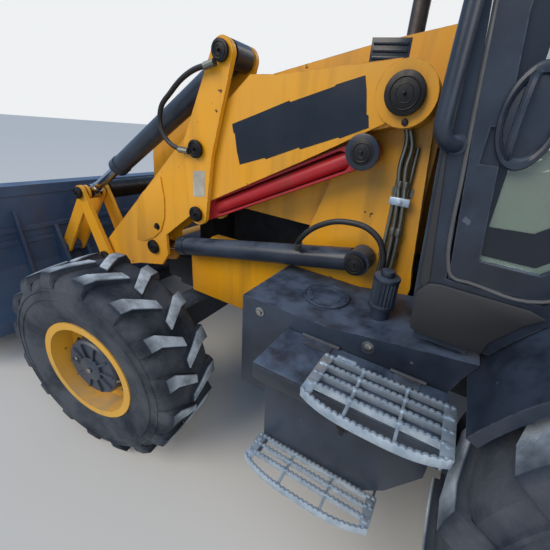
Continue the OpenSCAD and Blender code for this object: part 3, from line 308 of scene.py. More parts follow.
bolt_zinc = plain("zinc_plated_bolt", "b5b4ae", "7f7b72", 1.0, 0.35, 12, 2, 0.1)
panel_white = plain("blank_plate_film", "b9b4a6", "8f8a7c", 0.0, 0.45, 30, 4, 0.05, 0.7, 0.1)
panel_black = plain("black_panel_film", "101722", "1c2430", 0.0, 0.3, 160, 4, 0.05, 0.5, 0.1)
amber_lens = plain("amber_lamp_lens", "e06a08", "c85a05", 0.0, 0.12, 60, 6, 0.3, 0.4)
clear_lens = plain("clear_lamp_lens", "c8cccc", "a9adad", 0.3, 0.08, 30, 8, 0.6, 0.5)


def window_glass():
    """Toughened glass, faintly green, with a film of dust that dulls it here and there."""
    material, tree, shader, place = start_finish("toughened_window_glass")
    film = speckle(tree, place, 260, 0.45, 0.8, 8)
    tree.links.new(blend_colour(tree, film, "9fb8ab", "8f8f86"), shader.inputs["Base Color"])
    tree.links.new(span(tree, film, 0, 1, 0.03, 0.25), shader.inputs["Roughness"])
    tree.links.new(span(tree, film, 0, 1, 0.28, 0.42), shader.inputs["Alpha"])
    shader.inputs["IOR"].default_value = 1.52
    return material


glass = window_glass()


def seat_fabric():
    """Woven cloth: two sets of threads 4 mm apart, drawn coarse so that they show."""
    material, tree, shader, place = start_finish("woven_seat_cloth")
    waves = []
    for direction in ("X", "Y"):
        wave = add(tree, "ShaderNodeTexWave", {"Vector": place, "Scale": 78.0, "Distortion": 0.4},
                   bands_direction=direction)
        waves.append(wave.outputs["Fac"])
    weave = times(tree, waves[0], waves[1])
    base = blend_colour(tree, weave, "1c1d20", "3a3b40")
    tree.links.new(base, shader.inputs["Base Color"])
    shader.inputs["Roughness"].default_value = 0.95
    shader.inputs["Sheen Weight"].default_value = 0.35
    bump(tree, shader, weave, 0.6)
    return material


seat_cloth = seat_fabric()

# %% [markdown]
# The solids take their finishes by node. A solid of the right shape stays as it is, and only its
# material slot is filled.

# %% Dress the solids
DRESS = {
    amber: "loader_towers bonnet loader_arms levelling_levers tipping_levers tipping_links "
           "kingpost boom dipper bucket_lever bucket_link",
    strut_red: "levelling_links",
    rim_yellow: "front_rim_left front_rim_right rear_rim_left rear_rim_right",
    black_satin: "cab_frame door_left door_right rear_fenders side_tanks toolboxes toolbox_lid",
    frame_grey: "chassis_frame front_axle rear_axle backhoe_frame carriage stabiliser_left "
                "stabiliser_right knuckle_left knuckle_right",
    ram_black: "lift_barrels crowd_barrels boom_ram_barrel dipper_ram_barrel bucket_ram_barrel",
    rod_chrome: "lift_rods crowd_rods boom_ram_rod dipper_ram_rod bucket_ram_rod",
    pin_steel: "tipping_pins tipping_link_pins shovel_pins",
    pipe_zinc: "loader_pipes",
    shovel_blue: "shovel dig_bucket",
    engine_iron: "engine_block",
    exhaust_steel: "exhaust_stack",
    roof_plastic: "cab_roof",
    cab_plastic: "cab_interior",
    glass: "cab_glass door_glass_left door_glass_right",
    seat_cloth: "seat",
}
node_finish = {name: finish for finish, names in DRESS.items() for name in names.split()}
node_finish.update(tyre_finishes)
for name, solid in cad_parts.items():
    solid.data.materials.clear()
    solid.data.materials.append(node_finish[name])
    solid.data.polygons.foreach_set("material_index", [0] * len(solid.data.polygons))
print(len(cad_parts), "solids dressed")

# %% [markdown]
# New pieces start from a primitive at its size and place. Everything is deselected first, because
# an operator acts on all that is selected. At the end a piece gets its place in its mesh, a
# finish, and a body to ride on.

# %% Piece helpers


def deselect():
    bpy.ops.object.select_all(action="DESELECT")


def shape():
    """The object just made, with its place moved into its mesh."""
    piece = bpy.context.object
    bpy.ops.object.transform_apply(location=True, rotation=True, scale=True)
    return piece


def modify(piece, kind, **settings):
    """Adds a modifier and applies it at once."""
    bpy.context.view_layer.objects.active = piece
    modifier = piece.modifiers.new(kind.lower(), kind)
    for key, value in settings.items():
        setattr(modifier, key, value)
    bpy.ops.object.modifier_apply(modifier=modifier.name)


def round_edges(piece, width_mm, segments=2):
    modify(piece, "BEVEL", width=width_mm / 1000, segments=segments, limit_method="ANGLE",
           angle_limit=math.radians(35))


def place_on(piece, name, body, finish, smooth=35):
    """Names the piece, gives it its finish and body, and smooths its shallow edges."""
    piece.name = name
    piece.data.name = name
    if finish:
        piece.data.materials.clear()
        piece.data.materials.append(finish)
    deselect()
    piece.select_set(True)
    bpy.context.view_layer.objects.active = piece
    bpy.ops.object.shade_smooth_by_angle(angle=math.radians(smooth))
    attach(piece, body)
    return piece


def join(pieces):
    """Makes one piece of several."""
    deselect()
    for piece in pieces:
        piece.select_set(True)
    bpy.context.view_layer.objects.active = pieces[0]
    if len(pieces) > 1:
        bpy.ops.object.join()
    return bpy.context.object


def slab(low, high, edge_mm=2):
    """A rounded block between two corners, in millimetres as for spot."""
    deselect()
    low, high = spot(*low), spot(*high)
    bpy.ops.mesh.primitive_cube_add(size=1, location=(low + high) / 2, scale=high - low)
    piece = shape()
    if edge_mm:
        round_edges(piece, edge_mm)
    return piece


AXES = {"x": (0, math.pi / 2, 0), "y": (-math.pi / 2, 0, 0), "z": (0, 0, 0)}


def lathe_disc(centre, axis, radius_mm, depth_mm, edge_mm=1.5, sides=32, side=1):
    """A turned disc that stands depth_mm out along its axis from centre."""
    deselect()
    step = {"x": (1, 0, 0), "y": (0, 1, 0), "z": (0, 0, 1)}[axis]
    middle = spot(*centre) + Vector(step) * side * depth_mm / 2000
    bpy.ops.mesh.primitive_cylinder_add(vertices=sides, radius=radius_mm / 1000,
                                        depth=depth_mm / 1000, location=middle,
                                        rotation=AXES[axis])
    piece = shape()
    if edge_mm:
        round_edges(piece, edge_mm)
    return piece


def ring(centre, axis, radius_mm, bead_mm, sides=40):
    """A round bead bent to a ring."""
    deselect()
    bpy.ops.mesh.primitive_torus_add(location=spot(*centre), rotation=AXES[axis],
                                     major_radius=radius_mm / 1000, minor_radius=bead_mm / 1000,
                                     major_segments=sides, minor_segments=8)
    return shape()


def hex_bolt(centre, axis, across_mm, side=1):
    """A hexagon head on its washer."""
    washer = lathe_disc(centre, axis, across_mm * 0.95, across_mm * 0.14, 0.4, 24, side)
    head = lathe_disc(centre, axis, across_mm * 0.57, across_mm * 0.62, 0.8, 6, side)
    return [washer, head]


def round_line(name, points, radius_mm, around, along):
    """A curve through points, as thick as a pipe. around and along say how finely it is cut."""
    curve = bpy.data.curves.new(name, "CURVE")
    curve.dimensions = "3D"
    curve.bevel_depth = radius_mm / 1000
    curve.bevel_resolution = around
    curve.resolution_u = along
    curve.use_fill_caps = True
    spline = curve.splines.new("BEZIER")
    spline.bezier_points.add(len(points) - 1)
    for bend, point in zip(spline.bezier_points, points):
        bend.co = spot(*point)
        bend.handle_left_type = bend.handle_right_type = "AUTO"
    piece = bpy.data.objects.new(name, curve)
    bpy.context.scene.collection.objects.link(piece)
    return piece


def tube(points, radius_mm, sides=8):
    """A smooth pipe through points, as a mesh."""
    deselect()
    piece = round_line("tube", points, radius_mm, max(1, sides // 4), 6)
    piece.select_set(True)
    bpy.context.view_layer.objects.active = piece
    bpy.ops.object.convert(target="MESH")
    return bpy.context.object


def mirrored(piece):
    """The same piece on the machine's other side, with its own mesh and faces turned right."""
    twin = piece.copy()
    twin.data = piece.data.copy()
    bpy.context.scene.collection.objects.link(twin)
    twin.data.transform(Matrix.Diagonal((1, -1, 1, 1)))
    twin.data.flip_normals()
    return twin


def on_both(piece, name, body, finish):
    """Places a piece on the left and its twin on the right."""
    twin = mirrored(piece)
    place_on(twin, name + "_right", body.replace("left", "right"), finish)
    place_on(piece, name + "_left", body, finish)
    return piece, twin


# %% [markdown]
# Every hinge of the loader ends in a pin whose head shows: a dark turned disc with a raised rim
# and a grease nipple in its middle. It is modelled once as a function, and each pin calls it.

# %% Pin ends


def pin_end(pin, face, radius, out):
    """A pin's head on a face at face mm across."""
    parts = [lathe_disc((pin[0], face, pin[1]), "y", radius, out, 3),
             ring((pin[0], face + out, pin[1]), "y", radius * 0.72, 2.5),
             ring((pin[0], face + out - 1, pin[1]), "y", radius * 0.42, 2),
             lathe_disc((pin[0], face + out - 1, pin[1]), "y", 5, 12, 1, 12)]
    return join(parts)


def pin_ends(table):
    """Puts a head on each side's end of the pins in a table like the next one."""
    for name, pin, face, radius, out, body in table:
        on_both(pin_end(pin, face, radius, out), name, body, pin_steel)


# name, pin, how far out its face is, its head's radius, how far the head stands out, body
PIN_ENDS = [("arm_pivot_cap", ARM_PIVOT, 570, 62, 14, "chassis"),
            ("link_pivot_cap", LINK_PIVOT, 560, 42, 14, "chassis"),
            ("lift_base_cap", LIFT_BASE, 560, 42, 14, "chassis"),
            ("lift_rod_cap", LIFT_ROD_PIN, 554, 40, 14, "loader_arms"),
            ("lever_pivot_cap", LEVER_PIVOT, PIN_FACE, 38, 14, "levelling_levers"),
            ("crowd_base_cap", CROWD_BASE, PIN_FACE, 38, 14, "levelling_levers"),
            ("lever_foot_cap", LEVER_FOOT, PIN_FACE, 36, 14, "levelling_levers"),
            ("tip_lever_cap", TIP_LEVER_PIN, PIN_FACE, 36, 14, "tipping_pins"),
            ("tip_pin_cap", TIP_PIN, PIN_FACE, 36, 14, "tipping_link_pins"),
            ("shovel_hinge_cap", SHOVEL_HINGE, PIN_FACE, 36, 14, "shovel_pins")]
pin_ends(PIN_ENDS)
print(2 * len(PIN_ENDS), "pin heads")

# %% [markdown]
# What has no primitive is made from its points. Some of it is flat plate cut to an outline.

# %% Plates


def mesh_piece(points, edges, faces):
    """An object from its points in metres and its edges or faces."""
    mesh = bpy.data.meshes.new("piece")
    mesh.from_pydata(points, edges, faces)
    piece = bpy.data.objects.new("piece", mesh)
    bpy.context.scene.collection.objects.link(piece)
    return piece


def face_outwards(piece):
    """Turns every face outwards."""
    soup = bmesh.new()
    soup.from_mesh(piece.data)
    bmesh.ops.recalc_face_normals(soup, faces=soup.faces)
    soup.to_mesh(piece.data)
    soup.free()


def cut_plate(outline, across, thick, edge_mm=1.5):
    """A plate with an outline of [along, up] points, from across outwards."""
    deselect()
    low = [spot(x, across, z) for x, z in outline]
    high = [spot(x, across + thick, z) for x, z in outline]
    n = len(outline)
    faces = [list(range(n)), list(range(2 * n - 1, n - 1, -1))]
    faces += [[i, i + n, (i + 1) % n + n, (i + 1) % n] for i in range(n)]
    piece = mesh_piece(low + high, [], faces)
    face_outwards(piece)
    if edge_mm:
        round_edges(piece, edge_mm)
    return piece


# %% [markdown]
# The tyres are the largest thing in the photograph. Each is a carcass turned from a profile, with
# two ridges low on its side, and two rows of thick lugs that start in the middle of the tread,
# bend, and run over the shoulder.

# %% Tyres


def steer(piece, side):
    """Turns a piece of a front wheel about its kingpin, as the machine was parked."""
    king = spot(KINGPIN[0], side * KINGPIN[1], 0)
    turn = Matrix.Rotation(math.radians(STEER), 4, "Z")
    piece.data.transform(Matrix.Translation(king) @ turn @ Matrix.Translation(-king))


def carcass(wheel, profile, steps=96):
    """A profile of [radius, across] points in millimetres, spun about the wheel's axle."""
    deselect()
    points = [(0, across / 1000, radius / 1000) for radius, across in profile]
    edges = [(i, (i + 1) % len(points)) for i in range(len(points))]
    piece = mesh_piece(points, edges, [])
    modify(piece, "SCREW", axis="Y", steps=steps, render_steps=steps, use_merge_vertices=True,
           merge_threshold=0.00001)
    piece.data.transform(Matrix.Translation(spot(*wheel)))
    face_outwards(piece)
    return piece


def lug_rows(wheel, radius, width, depth, count):
    """Lugs in two rows, half a pitch apart, each swept through five sections."""
    sections = [(0, -0.04, 0, 22), (0.07, 0.12, 0, 25), (0.14, 0.28, 1, 29), (0.155, 0.42, 6, 33),
                (0.155, 0.475, 0.09 * radius, 35)]
    points, faces = [], []
    for i in range(count):
        for row in (1, -1):
            middle = (i + (0.25 if row > 0 else 0.75)) * 2 * math.pi / count
            start = len(points)
            for lean, out, drop, half in sections:
                foot = radius - drop - depth - (8 if drop < 20 else 4)
                half *= radius / 485
                for shift, reach in ((-half - 7, foot), (-half, radius - drop),
                                     (half, radius - drop), (half + 7, foot)):
                    angle = middle + lean + shift / radius
                    points.append(spot(wheel[0] + reach * math.sin(angle),
                                       wheel[1] + row * out * width,
                                       wheel[2] + reach * math.cos(angle)))
            for k in range(len(sections) - 1):
                for j in range(4):
                    a, b = start + 4 * k + j, start + 4 * k + (j + 1) % 4
                    faces.append([a, b, b + 4, a + 4])
            last = start + 4 * (len(sections) - 1)
            faces += [[end, end + 1, end + 2, end + 3] for end in (start, last)]
    piece = mesh_piece(points, [], faces)
    face_outwards(piece)
    round_edges(piece, 4)
    return piece


def tyre_profile(radius, width, seat, depth):
    """Half of it from the bead out to the tread, then the same back on the other side."""
    tread = radius - depth
    share = [(seat + 3, 0.40), (seat + 20, 0.43), (seat + 0.3 * (tread - seat), 0.475),
             (seat + 0.55 * (tread - seat), 0.492), (seat + 0.6 * (tread - seat), 0.49),
             (seat + 0.61 * (tread - seat), 0.502), (seat + 0.64 * (tread - seat), 0.502),
             (seat + 0.65 * (tread - seat), 0.486), (seat + 0.76 * (tread - seat), 0.474),
             (seat + 0.77 * (tread - seat), 0.486), (seat + 0.80 * (tread - seat), 0.484),
             (seat + 0.81 * (tread - seat), 0.466), (tread - 22, 0.43), (tread - 6, 0.37),
             (tread, 0.28), (tread + 2, 0.1)]
    near = [(r, a * width) for r, a in share]
    return near + [(r, -a) for r, a in reversed(near)]


LUGS = 16  # in each of a tyre's two rows
for end, wheel, radius, width, seat, depth, turn in WHEELS:
    tyre = join([carcass(wheel, tyre_profile(radius, width, seat, depth)),
                 lug_rows(wheel, radius, width, depth, LUGS)])
    twin = mirrored(tyre)
    for piece, side, word in ((tyre, 1, "left"), (twin, -1, "right")):
        if turn:
            steer(piece, side)
        node = f"{end}_tyre_{word}"
        place_on(piece, f"{end}_tyre_with_lugs_{word}", f"{end}_wheel_{word}",
                 tyre_finishes[node], 30)
        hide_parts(node)

# %% [markdown]
# A front wheel's middle is a black casting with ribs and a bright plug; a rear wheel's is a flat
# hub. Both have a ring of nuts on studs and a valve stem through the rim.

# %% Hubs


def front_hub(wheel):
    x, y, z = wheel
    cap = [(135.5, 45), (152, 45), (152, 52), (142, 57), (140, 103), (133, 111), (2, 111),
           (2, 107.5), (135.5, 107.5)]
    parts = [carcass(wheel, cap, 64), lathe_disc((x, y + 110, z), "y", 60, 12, 4, 32)]
    for i in range(10):
        angle = i * math.pi / 5
        rib = slab((x + 44, y + 106, z - 5), (x + 128, y + 119, z + 5), 2)
        here = spot(x, 0, z)
        rib.data.transform(Matrix.Translation(here) @ Matrix.Rotation(angle, 4, "Y")
                           @ Matrix.Translation(-here))
        parts.append(rib)
    return join(parts)


def stud_ring(wheel, face, radius, count, across):
    """Nuts on studs round the wheel's axle."""
    parts = []
    for i in range(count):
        angle = (i + 0.5) * 2 * math.pi / count
        centre = (wheel[0] + radius * math.cos(angle), face, wheel[2] + radius * math.sin(angle))
        parts += hex_bolt(centre, "y", across)
        parts.append(lathe_disc(centre, "y", across * 0.25, across, 1, 12))
    return join(parts)


def wheel_piece(piece, name, body, finish, turned):
    """Places a wheel's piece on both sides, and steers it if its wheel is turned."""
    twin = mirrored(piece)
    for part, side, word in ((piece, 1, "left"), (twin, -1, "right")):
        if turned:
            steer(part, side)
        place_on(part, f"{name}_{word}", f"{body}_{word}", finish)


wheel_piece(front_hub(FRONT_WHEEL), "front_hub", "front_wheel", ram_black, True)
x, y, z = FRONT_WHEEL
plug = join([lathe_disc((x, y + 121, z), "y", 13, 10, 2, 6),
             lathe_disc((x + 86, y + 110, z + 26), "y", 9, 9, 1.5, 6)])
wheel_piece(plug, "front_hub_plug", "front_wheel", bolt_zinc, True)
wheel_piece(stud_ring(FRONT_WHEEL, y + 45, 166, 10, 17), "front_wheel_nuts", "front_wheel",
            ram_black, True)
wheel_piece(stud_ring(REAR_WHEEL, REAR_WHEEL[1] + 20, 172, 10, 24), "rear_wheel_nuts", "rear_wheel",
            bolt_zinc, False)
for end, wheel, _, width, seat, _, turn in WHEELS:
    stem = tube([(wheel[0] - seat + 34, wheel[1] + width * 0.33, wheel[2] + 20),
                 (wheel[0] - seat + 40, wheel[1] + width * 0.38, wheel[2] + 20),
                 (wheel[0] - seat + 52, wheel[1] + width * 0.43, wheel[2] + 20)], 5)
    wheel_piece(stem, end + "_valve_stem", end + "_wheel", pipe_zinc, turn)

# %% [markdown]
# The way up to the cab is two open treads in hot-dip zinc. Their bars have saw teeth along the
# top, so that a muddy boot holds. The upper one is bolted to the lid of the toolbox. In the solids
# the treads are one with the lid and the box, so those two are made again here.

# %% Treads


def toothed_bar(x0, x1, across, top, thick=9, deep=26, pitch=17, tooth=6):
    """A bar on edge, toothed along its top. across gives its place at a share of its length."""
    count = max(2, round((x1 - x0) / pitch))
    marks = [(i + part, top - drop) for i in range(count)
             for part, drop in ((0, tooth), (0.3, 0), (0.72, 0))] + [(count, top - tooth)]
    points, faces = [], []
    for share, height in marks:
        x, y = x0 + (x1 - x0) * share / count, across(share / count)
        points += [spot(x, y, top - deep), spot(x, y + thick, top - deep),
                   spot(x, y + thick, height), spot(x, y, height)]
    for a in range(0, len(points) - 4, 4):
        faces += [[a + j, a + (j + 1) % 4, a + 4 + (j + 1) % 4, a + 4 + j] for j in range(4)]
    last = len(points) - 4
    faces += [[0, 1, 2, 3], [last, last + 1, last + 2, last + 3]]
    bar = mesh_piece(points, [], faces)
    face_outwards(bar)
    round_edges(bar, 0.8)
    return bar


def tread(x0, x1, y0, y1, top, bars):
    """Toothed bars, the last one bowed out, thin ties across, and a bolted plate at each end."""
    step = (y1 - y0) / bars
    parts = [toothed_bar(x0, x1, lambda share, y=y0 + i * step: y, top + 4) for i in range(bars)]
    parts.append(toothed_bar(x0, x1, lambda share: y1 - 8 + 32 * (1 - abs(2 * share - 1) ** 3),
                             top + 4, 8, 32))
    for x in (x0 + (x1 - x0) / 3, x0 + 2 * (x1 - x0) / 3):
        parts.append(slab((x - 4, y0, top - 20), (x + 4, y1 + 20, top - 3), 1))
    for x in (x0 + 15, x1 - 15):
        parts.append(slab((x - 16, y0, top - 9), (x + 16, y1, top + 1), 1.5))
        for y in (y0 + 0.25 * (y1 - y0), y0 + 0.8 * (y1 - y0)):
            parts.append(lathe_disc((x, y, top + 1), "z", 9, 4, 1.5, 20))
    return parts


LID_BACK, LID_FRONT = 735, 1295
LID_OUT = BOX_FACE + 12
upper = tread(720, 1112, 880, 1045, 950, 4)
upper.append(slab((1010, 872, 930), (1072, 880, 958), 1.5))
place_on(join(upper), "upper_tread_grating", "toolbox_lid", zinc)
lower = tread(843, 1300, 932, 1030, 515, 3)
on_both(join(lower), "lower_tread_grating", "chassis", zinc)
lid = [slab((LID_BACK, TANK_FACE + 3, 908), (LID_FRONT, LID_OUT, 922), 3),
       slab((LID_BACK, LID_OUT - 9, 860), (LID_FRONT, LID_OUT, 915), 3)]
lid = place_on(join(lid), "toolbox_lid_sheet", "toolbox_lid", black_satin)
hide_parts("toolbox_lid")
box_side = [(742, 905), (742, 700), (830, 560), (900, 500), (1290, 500), (1300, 905)]
boxes = [cut_plate(box_side, TANK_FACE, 130, 6), slab((742, 925, 850), (1300, BOX_FACE, 905), 4)]
boxes += [slab((x, 905, 495), (x + 8, 990, 511), 1) for x in (850, 1262)]
box_left, _ = on_both(join(boxes), "toolbox_body", "chassis", black_satin)
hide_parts("toolboxes")

# %% [markdown]
# The lid turns on two barrel hinges against the tank, and a lever latch holds its front down. On
# the tank stand bolts, a round cover and a ribbed breather cap.

# %% Toolbox fittings
LID_HINGE = (808.4, 924)  # out and up
hinges = [tube([(x, *LID_HINGE) for x in (x0, (x0 + x1) / 2, x1)], 7.8, 12)
          for x0, x1 in ((1090, 1230), (805, 915))]
hinges += [slab((x0, 810, 921), (x1, 850, 926), 1) for x0, x1 in ((1110, 1210), (820, 900))]
place_on(join(hinges), "lid_hinges", "toolbox_lid", frame_grey)
latch = [slab((968, 1006, 838), (1002, 1022, 876), 3), slab((978, 1018, 826), (992, 1028, 868), 3)]
place_on(join(latch), "lid_latch", "chassis", pin_steel)
side_bolts = hex_bolt((1000, TANK_FACE, 968), "y", 24) + hex_bolt((1420, TANK_FACE, 940), "y", 20)
on_both(join(side_bolts), "tank_bolts", "chassis", bolt_zinc)
TANK_COVER = (1231, 620, 994)
x, y, z = TANK_COVER
cover = [ring(TANK_COVER, "z", 88, 3, 48), ring(TANK_COVER, "z", 60, 1.5, 48)]
for i in range(6):
    angle = i * math.pi / 3
    place = (x + 76 * math.cos(angle), y + 76 * math.sin(angle), z - 1)
    cover.append(lathe_disc(place, "z", 6, 5, 1, 12))
on_both(join(cover), "deck_cover_rim", "chassis", black_satin)


def ribbed(centre, radius, height, ribs):
    """An upright cap with ribs down its side."""
    cap = lathe_disc(centre, "z", radius, height, 0, 2 * ribs)
    axis = spot(*centre)
    for i, corner in enumerate(cap.data.vertices):
        if round(math.atan2(corner.co.y - axis.y, corner.co.x - axis.x) / math.pi * ribs) % 2:
            corner.co.x = axis.x + (corner.co.x - axis.x) * 0.9
            corner.co.y = axis.y + (corner.co.y - axis.y) * 0.9
    return cap


BREATHER = (1012, 655)
breather = [ribbed((*BREATHER, 1062), 44, 92, 22)]
for base, radius, height, edge, sides in ((1150, 46, 16, 5, 40), (1165, 24, 22, 5, 24),
                                          (1050, 46, 14, 3, 40)):
    breather.append(lathe_disc((*BREATHER, base), "z", radius, height, edge, sides))
place_on(join(breather), "tank_breather_cap", "chassis", ram_black)

# %% [markdown]
# Hoses carry oil to the rams. Each one runs free between two fittings, so it is drawn as a curve
# with its true length, and its ends sit in crimped sleeves.

# %% Hoses


def hose(name, body, points, radius_mm):
    """A free hose through points, with a crimped sleeve at each end."""
    piece = round_line(name, points, radius_mm, 3, 10)
    piece.data.materials.append(hose_rubber)
    bpy.context.view_layer.update()
    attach(piece, body)
    ends = []
    for first, second in ((points[0], points[1]), (points[-1], points[-2])):
        way = (Vector(second) - Vector(first)).normalized()
        start, stop = Vector(first) - way * 6, Vector(first) + way * 44
        sleeve = [tuple(start), tuple((start + stop) / 2), tuple(stop)]
        ends.append(tube(sleeve, radius_mm + 4, 12))
    place_on(join(ends), name + "_fittings", body, pipe_zinc)


hose("lift_ram_hose", "chassis", [(1414, 553, 1127), (1390, 590, 1180), (1306, 600, 1262),
     (1192, 602, 1300),
     (1097, 604, 1282), (1053, 606, 1225), (1046, 606, 1120), (1044, 606, 1000)], 11)
hose("crowd_ram_hose", "levelling_levers", [(1812, 604, 1770), (1930, 606, 1735), (2040, 606, 1660),
     (2112, 606, 1580), (2100, 606, 1490), (2010, 602, 1440), (1970, 600, 1440)], 10)

# %% [markdown]
# Rigid pipes climb the loader tower and bend forward along the arm. A clamp holds them.

# %% Pipes
pipe_run = []
for i, top in enumerate((1572, 1594)):
    x = 1040 + 22 * i
    pipe_run.append(tube([(x, 468, 1020), (x - 6, 470, 1200), (x + 6, 470, 1400),
                          (x + 22, 470, 1500), (x + 18, 472, top), (x + 34, 476, top + 50)], 9, 12))
    pipe_run.append(lathe_disc((x - 4, 469, 1250), "z", 14, 34, 2, 6))
    pipe_run.append(lathe_disc((x + 8, 470, 1430), "z", 13, 26, 2, 6))
place_on(join(pipe_run), "tower_pipes_left", "chassis", pipe_zinc)
clamp = [slab((1020, 461, 1368), (1096, 486, 1398), 4)] + hex_bolt((1056, 486, 1383), "y", 14)
place_on(join(clamp), "pipe_clamp_left", "chassis", zinc)

# %% [markdown]
# The arm carries a black film panel, worn ragged along its edge, and a plate bolted to its nose.
# The levelling lever has a small pale plate.

# %% Arm panels
panel = [(1236, 1762), (1330, 1732), (1336, 1726), (1500, 1668), (1506, 1672), (1640, 1618),
         (1763, 1570), (1757, 1540), (1749, 1534), (1738, 1470), (1722, 1418), (1600, 1462),
         (1594, 1458), (1450, 1520), (1444, 1514), (1300, 1572), (1292, 1570), (1196, 1614),
         (1204, 1650), (1211, 1652), (1224, 1722)]
on_both(cut_plate(panel, ARM_FACE, 1.2, 0), "arm_panel", "loader_arms", panel_black)
lever_plate = [(1890, 1368), (1960, 1356), (1966, 1240), (1896, 1252)]
on_both(cut_plate(lever_plate, LEVER_FACE, 1, 0), "lever_plate", "levelling_levers",
        panel_white)
nose = [(2385, 1150), (2345, 1190), (2205, 1290), (2190, 1180), (2200, 1080), (2235, 1000),
        (2290, 950), (2380, 905), (2440, 900)]
on_both(cut_plate(nose, ARM_FACE, 6, 3), "arm_nose_plate", "loader_arms", amber)
arm_bolts = hex_bolt((1082, ARM_FACE, 1640), "y", 20)
arm_bolts += hex_bolt((2260, ARM_FACE + 5, 1020), "y", 20)
on_both(join(arm_bolts), "arm_bolts", "loader_arms", pin_steel)
strut_end = lathe_disc((LINK_PIVOT[0], 562, LINK_PIVOT[1]), "y", 60, 10, 4, 40)
on_both(strut_end, "strut_end_ring", "levelling_links", ram_black)

# %% [markdown]
# The cab door is one pane in a black frame. A pale seal runs round it, the glass has a printed
# black border, and the handle sits in an oval cup.

# %% Cab door
seal_line = [(912, 1880), (880, 1560), (846, 1300), (828, 1274), (790, 1271), (622, 1273),
             (528, 1368), (409, 1450), (208, 1541), (72, 1543), (70, 2100), (72, 2700),
             (100, 2710), (860, 2708), (892, 2300), (912, 1880)]
seal_points = [(x, CAB_FACE + 1, z) for x, z in seal_line]
on_both(tube(seal_points, 5), "door_seal", "door_left", seal_rubber)
border_outer = [(827, 1345), (660, 1345), (565, 1430), (430, 1516), (220, 1604), (130, 1606),
                (130, 2648), (800, 2648), (845, 1890)]
border_inner = [(785, 1420), (690, 1425), (600, 1500), (450, 1590), (240, 1672), (190, 1676),
                (190, 2590), (752, 2590), (792, 1890)]
GLASS_FACE = 767
ring_points = [spot(x, GLASS_FACE, z) for x, z in border_outer + border_inner]
count = len(border_outer)
border = mesh_piece(ring_points, [], [[i, (i + 1) % count, (i + 1) % count + count, i + count]
                                      for i in range(count)])
modify(border, "SOLIDIFY", thickness=0.001)
on_both(border, "door_glass_border", "door_left", panel_black)
HANDLE = (782, CAB_FACE + 2, 1662)
centre = spot(*HANDLE)
oval = (Matrix.Translation(centre) @ Matrix.Diagonal((0.85, 1, 1.5, 1))
        @ Matrix.Translation(-centre))
cup = ring(HANDLE, "y", 62, 9, 48)
back = lathe_disc((HANDLE[0], HANDLE[1] - 5, HANDLE[2]), "y", 62, 4, 1, 40)
for part in (cup, back):
    part.data.transform(oval)
pull = tube([(798, 786, 1576), (802, 806, 1600), (804, 812, 1662), (802, 806, 1724),
             (798, 786, 1748)], 9)
on_both(join([cup, back, pull]), "door_handle", "door_left", black_satin)
sill = [(906, 1206), (900, 1100), (880, 1078), (700, 1078), (694, 1120), (640, 1196), (600, 1232),
        (640, 1244), (850, 1246), (880, 1240)]
on_both(cut_plate(sill, CAB_FACE, 9, 5), "cab_sill_moulding", "chassis", cab_plastic)
pillar = [(958, 1880), (905, 1240), (888, 1216), (880, 1250), (922, 1560), (936, 1880)]
on_both(cut_plate(pillar, CAB_FACE, 6, 3), "pillar_moulding", "chassis", cab_plastic)

# %% [markdown]
# The seat is foam under woven cloth: each cushion is crowned, soft at its edges, with a sewn
# groove on either side. It stands on a round pedestal.

# %% Seat


def cushion(low, high, face):
    """A crowned foam block between two corners. face is the axis its sewn grooves are cut in."""
    deselect()
    low, high = spot(*low), spot(*high)
    bpy.ops.mesh.primitive_cube_add(size=2)
    piece = shape()
    modify(piece, "SUBSURF", subdivision_type="SIMPLE", levels=5)
    for corner in piece.data.vertices:
        at = corner.co
        size = (abs(at.x) ** 5 + abs(at.y) ** 5 + abs(at.z) ** 5) ** 0.2
        groove = 0.10 * math.exp(-((abs(at.y) - 0.55) / 0.04) ** 2) if at[face] > 0.9 else 0
        at /= size
        at[face] -= groove
        corner.co = (low + high) / 2 + Vector(a * b for a, b in zip(at, (high - low) / 2))
    return piece


UP, AHEAD = 2, 0
# name, low corner, high corner, the axis its face looks along
for name, low, high, face in (("seat_cushion", (-90, -240, 1395), (400, 240, 1515), UP),
                              ("seat_back", (-170, -225, 1500), (-75, 225, 2085), AHEAD)):
    pad = place_on(cushion(low, high, face), name, "seat", seat_cloth, 60)
pedestal = [lathe_disc((160, 0, 1081), "z", 108, 318, 8, 40),
            slab((-60, -200, 1380), (370, 200, 1400), 6),
            slab((-150, -40, 1390), (-100, 40, 1560), 6)]
pedestal = place_on(join(pedestal), "seat_pedestal", "seat", cab_plastic)
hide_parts("seat")

# %% [markdown]
# The roof carries four work lamps at each end and an amber beacon. The bonnet has slatted vents
# beside the exhaust, and the exhaust has two clamps and a rolled lip.

# %% Lamps, vents and exhaust
ROOF_ENDS = (1054, -669)
LENS_LOW, LENS_HIGH, RIM = 2785, 2845, 8
lenses, frames = [], []
for x in ROOF_ENDS:
    for y in (-640, -400, 400, 640):
        lenses.append(slab((x - 3, y - 60, LENS_LOW), (x + 3, y + 60, LENS_HIGH), 2))
        frames.append(slab((x - 8, y - 60 - RIM, LENS_LOW - RIM),
                           (x + 1, y + 60 + RIM, LENS_HIGH + RIM), 3))
place_on(join(lenses), "roof_lamp_lenses", "chassis", clear_lens)
place_on(join(frames), "roof_lamp_frames", "chassis", roof_plastic)
BEACON = (250, -560)
dome = join([lathe_disc((*BEACON, 2896), "z", 52, 62, 16, 32),
             lathe_disc((*BEACON, 2950), "z", 30, 12, 5, 24)])
place_on(dome, "beacon_dome", "chassis", amber_lens)
vents = [slab((1158, BONNET_FACE, z), (1282, BONNET_FACE + 6, z + 10), 1.5)
         for z in range(1795, 1884, 22)]
